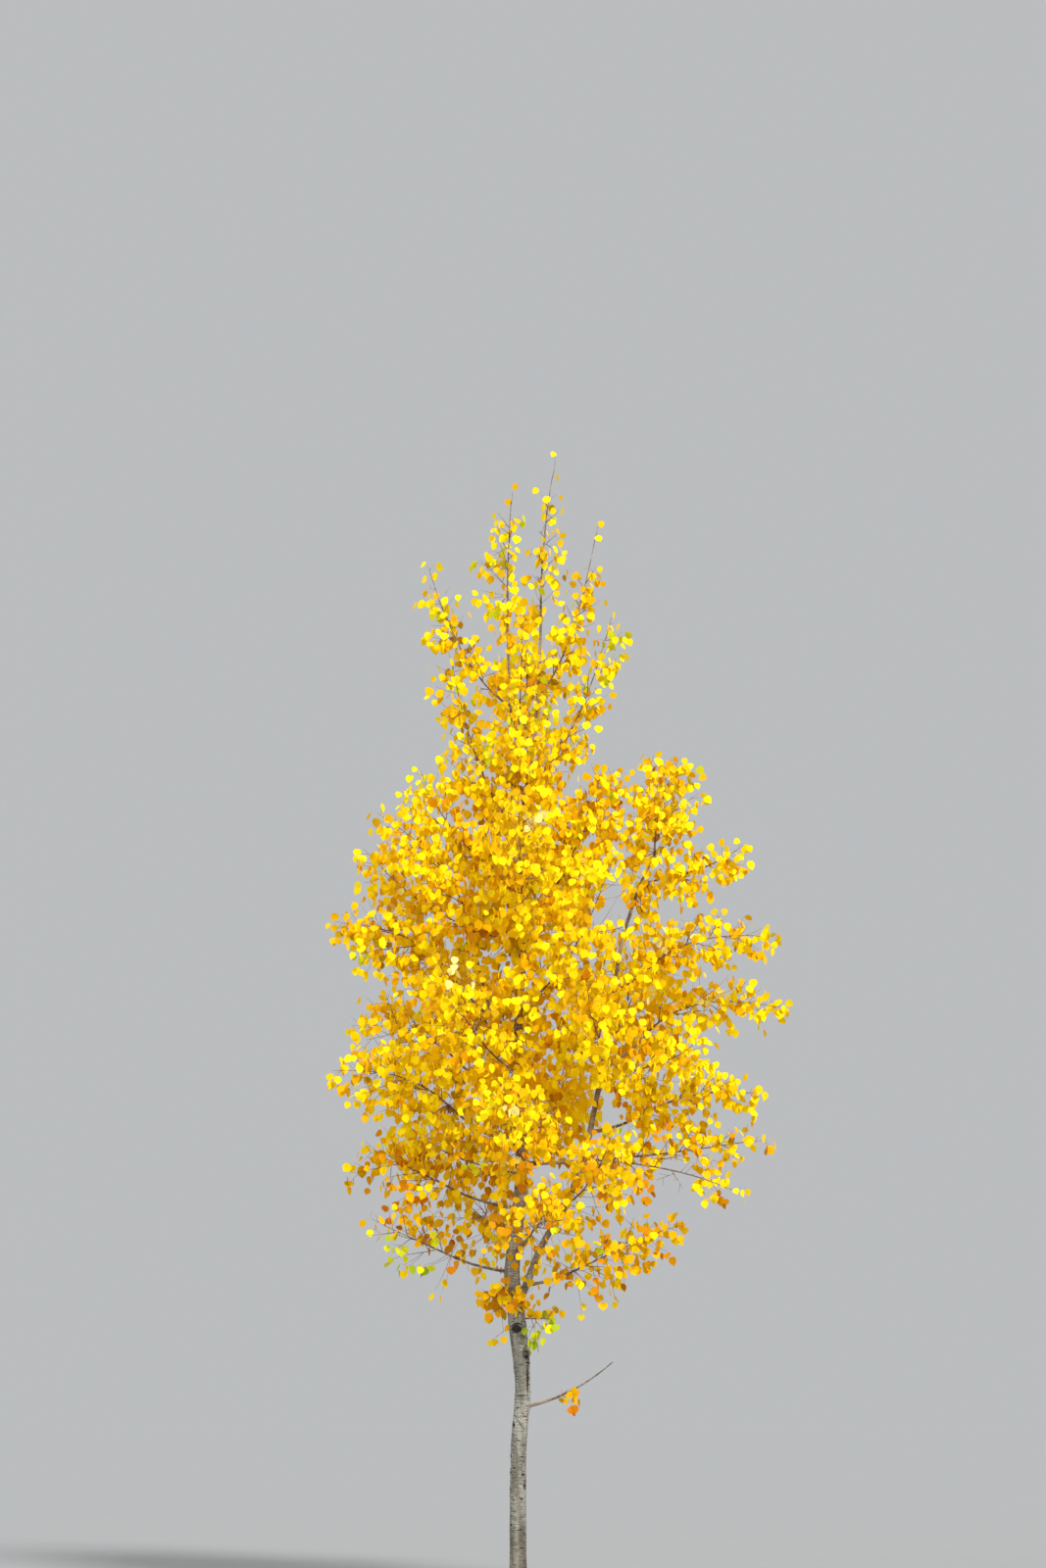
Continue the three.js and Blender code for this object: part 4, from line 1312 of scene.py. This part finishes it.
def mix_colours(tree, share, first, second):
    """Two colours mixed by a share, each of them linked or set."""
    node = tree.nodes.new("ShaderNodeMix")
    node.data_type = "RGBA"
    sockets = [s for s in node.inputs if s.enabled]
    for socket, value in zip(sockets, (share, first, second)):
        feed(tree, socket, value)
    return next(s for s in node.outputs if s.enabled)


def noise(tree, place, scale, squash=1, detail=3, rough=0.6):
    """Noise with features so many to the metre, and more closely set up the stem by squash."""
    node = tree.nodes.new("ShaderNodeTexNoise")
    feed(tree, node.inputs["Vector"], moved_place(tree, "MULTIPLY", place, (1, 1, squash)))
    for label, number in (("Scale", scale), ("Detail", detail), ("Roughness", rough)):
        feed(tree, node.inputs[label], number)
    return node.outputs["Fac"]


@functools.lru_cache(maxsize=None)
def streaks_group():
    """Long soft streaks down a stem."""
    group, given, result = node_group("aspen_streaks", {"Place": ORIGIN, "Strength": 1.0}, ["Mask"])
    narrow = noise(group, given["Place"], 26, squash=0.10, detail=4)
    broad = noise(group, given["Place"], 5, squash=0.5, rough=0.5)
    both = total(group, product(group, narrow, 0.6), product(group, broad, 0.4))
    spread = ramp_between(group, both, low=0.40, high=0.62)
    feed(group, result["Mask"], product(group, spread, given["Strength"]))
    return group


# Level of the noise above which a dash shows, and what lowers it
LENTICEL_LEVEL = 0.80
LENTICEL_GAIN = 0.22
LENTICEL_CLUMPING = 0.12
LENTICEL_EDGE = 0.05
FINER_LENTICELS_RARER = 0.03
FINER_LENTICELS_FAINTER = 0.7


@functools.lru_cache(maxsize=None)
def lenticels_group():
    """Short dark dashes across the bark, in clumps, with finer ones between them."""
    group, given, result = node_group("aspen_lenticels", {"Place": ORIGIN, "Amount": 0.5}, ["Mask"])
    dashes = noise(group, given["Place"], 22, squash=12, detail=2, rough=0.5)
    fine = noise(group, given["Place"], 48, squash=7.5, detail=2, rough=0.5)
    clumps = noise(group, given["Place"], 4.2, squash=1.4, detail=2, rough=0.5)
    level = less(group, LENTICEL_LEVEL, product(group, given["Amount"], LENTICEL_GAIN))
    level = less(group, level, product(group, clumps, LENTICEL_CLUMPING))
    dashes = ramp_between(group, dashes, level, total(group, level, LENTICEL_EDGE))
    level = total(group, level, FINER_LENTICELS_RARER)
    fine = ramp_between(group, fine, level, total(group, level, LENTICEL_EDGE))
    fine = product(group, fine, FINER_LENTICELS_FAINTER)
    feed(group, result["Mask"], maths(group, "MAXIMUM", dashes, fine))
    return group


@functools.lru_cache(maxsize=None)
def wrinkles_group():
    """Fine wrinkles round the stem."""
    group, given, result = node_group("aspen_wrinkles", {"Place": ORIGIN, "Scale": 1.0}, ["Height"])
    place = moved_place(group, "SCALE", given["Place"], given["Scale"], socket="Scale")
    wrinkles = noise(group, place, 14, squash=12, detail=5)
    grain = noise(group, place, 160)
    both = total(group, product(group, wrinkles, 0.8), product(group, grain, 0.2))
    feed(group, result["Height"], both)
    return group


# Where a mark and the rim round it fade out, in half sizes of the mark, and how its outline runs
MARK_FADES = (0.75, 1.05)
RIM_FADES = (1.3, 2.0)
RAGGEDNESS = 0.9
MARK_NARROWING = 0.75
THINNEST_END = 0.1


@functools.lru_cache(maxsize=None)
def scar_group():
    """One eye-shaped mark round a point, drawn out to both sides."""
    sizes = {"Half Width": 0.03, "Half Height": 0.012, "Bend": 0.0, "Lean": 0.0}
    inputs = {"Place": ORIGIN, "Centre": ORIGIN, **sizes}
    group, given, result = node_group("aspen_scar", inputs, ["Mask", "Rim"])
    x, y, z = axes(group, moved_place(group, "SUBTRACT", given["Place"], given["Centre"]))
    level_square = total(group, product(group, x, x), product(group, y, y))
    wide = maths(group, "DIVIDE", maths(group, "SQRT", level_square), given["Half Width"])
    wide_square = product(group, wide, wide)
    narrowing = less(group, 1.0, product(group, wide_square, MARK_NARROWING))
    tall = product(group, given["Half Height"], maths(group, "MAXIMUM", narrowing, THINNEST_END))
    fall = total(group, product(group, level_square, given["Bend"]), product(group, x, given["Lean"]))
    high = maths(group, "DIVIDE", maths(group, "ABSOLUTE", total(group, z, fall)), tall)
    distance = maths(group, "SQRT", total(group, wide_square, product(group, high, high)))
    ragged = noise(group, given["Place"], 130, squash=2.2)
    distance = total(group, distance, product(group, less(group, ragged, 0.5), RAGGEDNESS))
    feed(group, result["Mask"], turned_over(group, ramp_between(group, distance, *MARK_FADES)))
    feed(group, result["Rim"], turned_over(group, ramp_between(group, distance, *RIM_FADES)))
    return group


def placed(tree, group, values):
    """A node group set down in a material with its values, and what comes out of it."""
    node = tree.nodes.new("ShaderNodeGroup")
    node.node_tree = group
    for label, value in values.items():
        feed(tree, node.inputs[label], value)
    return node.outputs


def new_material(name):
    """An empty material, its shader and the place on the surface."""
    material = bpy.data.materials.new(name)
    material.use_nodes = True
    tree = material.node_tree
    place = tree.nodes.new("ShaderNodeTexCoord").outputs["Object"]
    return material, tree, tree.nodes["Principled BSDF"], place


def bump(tree, shader, height, strength, distance):
    """Relief on the shader from a height."""
    node = tree.nodes.new("ShaderNodeBump")
    for label, value in (("Strength", strength), ("Distance", distance), ("Height", height)):
        feed(tree, node.inputs[label], value)
    feed(tree, shader.inputs["Normal"], node.outputs["Normal"])


def strongest(tree, values):
    """The greatest of many values."""
    return functools.reduce(lambda first, second: maths(tree, "MAXIMUM", first, second), values)


def marks_down_trunk(tree, place, rows):
    """The masks and the rims of marks on the trunk, each kind taken together."""
    masks, rims = [], []
    for height, bearing, half_width, half_height, bend, lean in rows:
        centre = sway_at(TRUNK_SWAY, height) + tip_point(bearing, between(TRUNK_RADIUS, height), 0)
        sizes = {"Half Width": half_width * MM, "Half Height": half_height * MM, "Bend": bend, "Lean": lean}
        mark = placed(tree, scar_group(), {"Place": place, "Centre": centre * MM, **sizes})
        masks.append(mark["Mask"])
        rims.append(mark["Rim"])
    return strongest(tree, masks), strongest(tree, rims)


# Layers of the trunk's bark: heights in metres between which it changes, and strengths
WARM_BETWEEN = (1.72, 2.4)
# Painted shade at the trunk's foot: heights in metres over which it fades out, and how strongly it falls,
# more on the streaks
FOOT_SHADE_BETWEEN = (0.30, 1.10)
FOOT_SHADE_SHARE = 0.50
FOOT_SHADE_ON_STREAKS = 0.40
STREAK_STRENGTH = 0.9
# Painted shade in the furrows: the wrinkle heights over which it darkens, and how strongly
SHADED_FURROWS = (0.58, 0.74)
FURROW_SHADE_SHARE = 0.28
SPECKLES = (0.44, 0.60)
RIM_SHARE = 0.38
LENTICELS_ON_TRUNK = 0.86
LENTICEL_SHARE = 0.8
MARK_DEPTH = 0.5


@functools.lru_cache(maxsize=None)
def trunk_bark():
    """Pale bark with grey-green streaks, dark dashes, rusty patches and black branch scars, with painted
    shade in its furrows and at its foot.
    """
    bark = bpy.context.scene.aspen_bark
    material, tree, shader, place = new_material("aspen_trunk_bark")
    streaks = placed(tree, streaks_group(), {"Place": place, "Strength": STREAK_STRENGTH})["Mask"]
    lenticels = placed(tree, lenticels_group(), {"Place": place, "Amount": LENTICELS_ON_TRUNK})["Mask"]
    wrinkles = placed(tree, wrinkles_group(), {"Place": place, "Scale": 1.0})["Height"]
    height = axes(tree, place)[2]
    in_crown = ramp_between(tree, height, *WARM_BETWEEN)
    foot = turned_over(tree, ramp_between(tree, height, *FOOT_SHADE_BETWEEN))
    colour = mix_colours(tree, streaks, bark.pale, bark.shade)
    colour = mix_colours(tree, in_crown, colour, mix_colours(tree, streaks, bark.warm, bark.warm_shade))
    # Painted shade darkens the trunk towards its foot
    foot_shading = product(tree, foot, grading(tree, streaks, FOOT_SHADE_SHARE, FOOT_SHADE_ON_STREAKS))
    colour = mix_colours(tree, foot_shading, colour, bark.foot_shade)
    # Painted shade: the bark darkens in its furrows
    furrow_shade = product(tree, ramp_between(tree, wrinkles, *SHADED_FURROWS), FURROW_SHADE_SHARE)
    colour = mix_colours(tree, furrow_shade, colour, bark.shade)
    speckle = noise(tree, place, 60, squash=1.6, detail=4, rough=0.65)
    speckle = ramp_between(tree, speckle, *SPECKLES)
    patches, _ = marks_down_trunk(tree, place, RUST)
    colour = mix_colours(tree, product(tree, patches, speckle), colour, bark.rust)
    scars, rims = marks_down_trunk(tree, place, SCARS)
    colour = mix_colours(tree, product(tree, rims, RIM_SHARE), colour, bark.shade)
    marks = maths(tree, "MAXIMUM", product(tree, lenticels, LENTICEL_SHARE), scars)
    colour = mix_colours(tree, marks, colour, bark.dark)
    feed(tree, shader.inputs["Base Color"], colour)
    feed(tree, shader.inputs["Roughness"], grading(tree, marks, base=0.58, gain=0.3))
    relief = less(tree, wrinkles, product(tree, marks, MARK_DEPTH))
    bump(tree, shader, relief, strength=0.55, distance=0.003)
    return material


FINER_WRINKLES = 2.2
LENTICELS_ON_BOUGHS = 0.75
BOUGH_LENTICEL_SHARE = 0.6


@functools.lru_cache(maxsize=None)
def bough_bark():
    """Warm grey-brown bark of the boughs, with pale and dark streaks and rings."""
    bark = bpy.context.scene.aspen_bark
    material, tree, shader, place = new_material("aspen_bough_bark")
    mottle = noise(tree, place, 22, detail=4)
    wrinkles = placed(tree, wrinkles_group(), {"Place": place, "Scale": FINER_WRINKLES})["Height"]
    lenticels = placed(tree, lenticels_group(), {"Place": place, "Amount": LENTICELS_ON_BOUGHS})["Mask"]
    darker = ramp_between(tree, mottle, low=0.40, high=0.64)
    colour = mix_colours(tree, darker, bark.bough, bark.bough_dark)
    colour = mix_colours(tree, product(tree, lenticels, BOUGH_LENTICEL_SHARE), colour, bark.dark)
    feed(tree, shader.inputs["Base Color"], colour)
    feed(tree, shader.inputs["Roughness"], grading(tree, mottle, base=0.5, gain=0.3))
    bump(tree, shader, wrinkles, strength=0.6, distance=0.0015)
    return material


@functools.lru_cache(maxsize=None)
def twig_bark():
    """Smooth reddish-brown bark of young twigs."""
    leaf = bpy.context.scene.aspen_leaf
    material, tree, shader, place = new_material("aspen_twig_bark")
    mottle = noise(tree, place, 30)
    paler = ramp_between(tree, mottle, low=0.45, high=0.68)
    colour = mix_colours(tree, paler, leaf.twig, leaf.twig_pale)
    feed(tree, shader.inputs["Base Color"], colour)
    feed(tree, shader.inputs["Roughness"], grading(tree, mottle, base=0.36, gain=0.3))
    bump(tree, shader, mottle, strength=0.3, distance=0.0008)
    return material


LEAF_SHEEN = 0.04
# Share of the leaves' painted glow that their stalks give off
STALK_GLOW_SHARE = 0.5


def leaf_material(name, colour, painted_glow):
    """One tint of leaf: a plain colour that also glows in that colour as painted light, with fine veins in
    its relief and gloss.
    """
    material, tree, shader, place = new_material(f"aspen_leaf_{name}")
    feed(tree, shader.inputs["Base Color"], colour)
    # Painted glow: the leaf gives off light in its own colour, in place of light passing through it
    feed(tree, shader.inputs["Emission Color"], colour)
    feed(tree, shader.inputs["Emission Strength"], painted_glow)
    feed(tree, shader.inputs["Specular IOR Level"], LEAF_SHEEN)
    veins = noise(tree, place, 260)
    feed(tree, shader.inputs["Roughness"], grading(tree, veins, base=0.45, gain=0.3))
    bump(tree, shader, veins, strength=0.25, distance=0.0008)
    return material


@functools.lru_cache(maxsize=None)
def leaf_materials():
    """The materials of the leaves in the order of their tints, and that of the stalks."""
    leaf = bpy.context.scene.aspen_leaf
    made = [leaf_material(tint, getattr(leaf, tint), leaf.painted_glow) for tint in TINTS]
    return made + [leaf_material("stalk", leaf.stalk_colour, leaf.painted_glow * STALK_GLOW_SHARE)]


# Operators


def settle_foliage(piece, slot, first, last):
    """Settles a piece that stands for the masses of one zone."""
    settle(piece, slot, *[f"{mass['name']}_leaves" for mass in masses()[first:last]])


class ASPEN_OT_trunk(bpy.types.Operator):
    """Dress the trunk in pale bark with its flare, collars and scars"""

    bl_idname = "aspen.trunk"
    bl_label = "Trunk"

    def execute(self, context):
        stem_piece(STEMS[0], context.scene.aspen_bark)
        return {"FINISHED"}


class ASPEN_OT_stems(bpy.types.Operator):
    """Dress the side stem and the second leader"""

    bl_idname = "aspen.stems"
    bl_label = "Side stem and second leader"

    def execute(self, context):
        for stem in STEMS[1:]:
            stem_piece(stem, context.scene.aspen_bark)
        return {"FINISHED"}


class ASPEN_OT_boughs(bpy.types.Operator):
    """Dress every bough, from its swollen root to where it enters its mass"""

    bl_idname = "aspen.boughs"
    bl_label = "Boughs"

    def execute(self, context):
        for name, *_, root_radius, tip_radius in BOUGHS:
            bough_piece(name, root_radius, tip_radius)
        return {"FINISHED"}


class ASPEN_OT_twigs(bpy.types.Operator):
    """Grow the stems, shoots and twigs of every mass of foliage"""

    bl_idname = "aspen.twigs"
    bl_label = "Twigs"

    def execute(self, context):
        for zone, first, last in ZONES:
            corners, faces, count = [], [], 0
            for kind, tubes in crown_zone(first, last).tubes.items():
                if tubes:
                    points, made = tube_arrays(tubes, *TWIG_KINDS[kind][:2])
                    corners.append(points)
                    faces += [[corner + count for corner in face] for face in made]
                    count += len(points)
            piece = joined_piece(f"twigs_{zone}", np.concatenate(corners), faces, [twig_bark()])
            settle_foliage(piece, "bough_bark", first, last)
        return {"FINISHED"}


class ASPEN_OT_leaves(bpy.types.Operator):
    """Hang every leaf on its stalk, each spray in its own tint"""

    bl_idname = "aspen.leaves"
    bl_label = "Leaves"

    def execute(self, context):
        for zone, first, last in ZONES:
            corners, faces, tints = leaf_arrays(crown_zone(first, last), context.scene.aspen_leaf)
            piece = joined_piece(f"leaves_{zone}", corners, faces, leaf_materials(), tints)
            settle_foliage(piece, "foliage", first, last)
        return {"FINISHED"}


# Floor, light and camera, in metres and degrees

FLOOR_SIDES = 96
FLOOR_DARKER = 0.97
SURROUND_STRENGTH = 0.62
# setting that holds the lamp's strength, where it shines from, softness
LAMPS = (
    ("key", (14.0, -26.0, 28.0), 12),
    ("fill", (-24.0, -20.0, 14.0), 40),
    ("back", (-9.0, 27.0, 26.0), 30),
)
LAMPS_AIM = (0.2, 0, 3.6)
CAMERA_PLACE = (0.030, -30.0, 1.65)
CAMERA_TILT = 6.4007
LENS_LENGTH = 111.016
SENSOR_HEIGHT = 36.0
FARTHEST_SEEN = 300


def lay_floor(stage):
    """A round floor, a little mottled and without gloss."""
    bm = bmesh.new()
    bmesh.ops.create_circle(bm, cap_ends=True, segments=FLOOR_SIDES, radius=stage.floor_radius)
    floor = in_scene("studio_floor", mesh_from(bm, "studio_floor"))
    material, tree, shader, place = new_material("studio_floor_paint")
    tone = noise(tree, place, 2, detail=2, rough=0.5)
    darker = [FLOOR_DARKER * part for part in stage.floor]
    feed(tree, shader.inputs["Base Color"], mix_colours(tree, tone, stage.floor, darker))
    feed(tree, shader.inputs["Roughness"], 0.95)
    feed(tree, shader.inputs["Specular IOR Level"], 0.0)
    floor.data.materials.append(material)


def light_tree(stage):
    """A plain surround and three soft lamps."""
    world = bpy.data.worlds.new("studio_surround")
    bpy.context.scene.world = world
    world.use_nodes = True
    background = world.node_tree.nodes["Background"]
    feed(world.node_tree, background.inputs["Color"], stage.sky)
    feed(world.node_tree, background.inputs["Strength"], SURROUND_STRENGTH)
    for name, place, softness in LAMPS:
        lamp = bpy.data.lights.new(f"{name}_light", "SUN")
        lamp.energy = getattr(stage, name)
        lamp.angle = math.radians(softness)
        holder = in_scene(f"{name}_light", lamp)
        holder.location = place
        aim = Vector(LAMPS_AIM) - Vector(place)
        holder.rotation_euler = aim.to_track_quat("-Z", "Y").to_euler()


def stand_camera():
    """The camera where the photograph was taken, at eye height and tilted up."""
    lens = bpy.data.cameras.new("photograph_camera")
    lens.sensor_fit = "VERTICAL"
    lens.sensor_height = SENSOR_HEIGHT
    lens.lens = LENS_LENGTH
    lens.clip_end = FARTHEST_SEEN
    camera = in_scene("photograph_camera", lens)
    camera.location = CAMERA_PLACE
    camera.rotation_euler = (math.radians(90 + CAMERA_TILT), 0, 0)
    bpy.context.scene.camera = camera
    bpy.context.scene.view_settings.view_transform = "Standard"


class ASPEN_OT_stage(bpy.types.Operator):
    """Lay the floor, set the soft lights and stand the camera where the photograph was taken"""

    bl_idname = "aspen.stage"
    bl_label = "Stage"

    def execute(self, context):
        lay_floor(context.scene.aspen_stage)
        light_tree(context.scene.aspen_stage)
        stand_camera()
        return {"FINISHED"}


class ASPEN_PT_panel(bpy.types.Panel):
    """The aspen's settings and the pieces that they make"""

    bl_idname = "ASPEN_PT_panel"
    bl_label = "Autumn aspen"
    bl_space_type = "VIEW_3D"
    bl_region_type = "UI"
    bl_category = "Aspen"

    def draw(self, context):
        layout = self.layout
        for holder, kind in SETTINGS:
            box = layout.box()
            box.label(text=kind.bl_rna.description or holder)
            for name in kind.__annotations__:
                box.prop(getattr(context.scene, holder), name)
        for operator in OPERATORS:
            layout.operator(operator.bl_idname)


SETTINGS = (
    ("aspen_bark", AspenBarkSettings),
    ("aspen_leaf", AspenLeafSettings),
    ("aspen_stage", AspenStageSettings),
)
OPERATORS = (
    ASPEN_OT_trunk,
    ASPEN_OT_stems,
    ASPEN_OT_boughs,
    ASPEN_OT_twigs,
    ASPEN_OT_leaves,
    ASPEN_OT_stage,
)


def register():
    """Adds the settings, the operators and the panel."""
    for holder, kind in SETTINGS:
        bpy.utils.register_class(kind)
        setattr(bpy.types.Scene, holder, bpy.props.PointerProperty(type=kind))
    for kind in (*OPERATORS, ASPEN_PT_panel):
        bpy.utils.register_class(kind)


def unregister():
    """Takes them away again."""
    for kind in (ASPEN_PT_panel, *reversed(OPERATORS)):
        bpy.utils.unregister_class(kind)
    for holder, kind in reversed(SETTINGS):
        delattr(bpy.types.Scene, holder)
        bpy.utils.unregister_class(kind)


def main():
    """Makes every piece in order."""
    register()
    bpy.ops.aspen.trunk()
    bpy.ops.aspen.stems()
    bpy.ops.aspen.boughs()
    bpy.ops.aspen.twigs()
    bpy.ops.aspen.leaves()
    bpy.ops.aspen.stage()


if __name__ == "__main__":
    main()
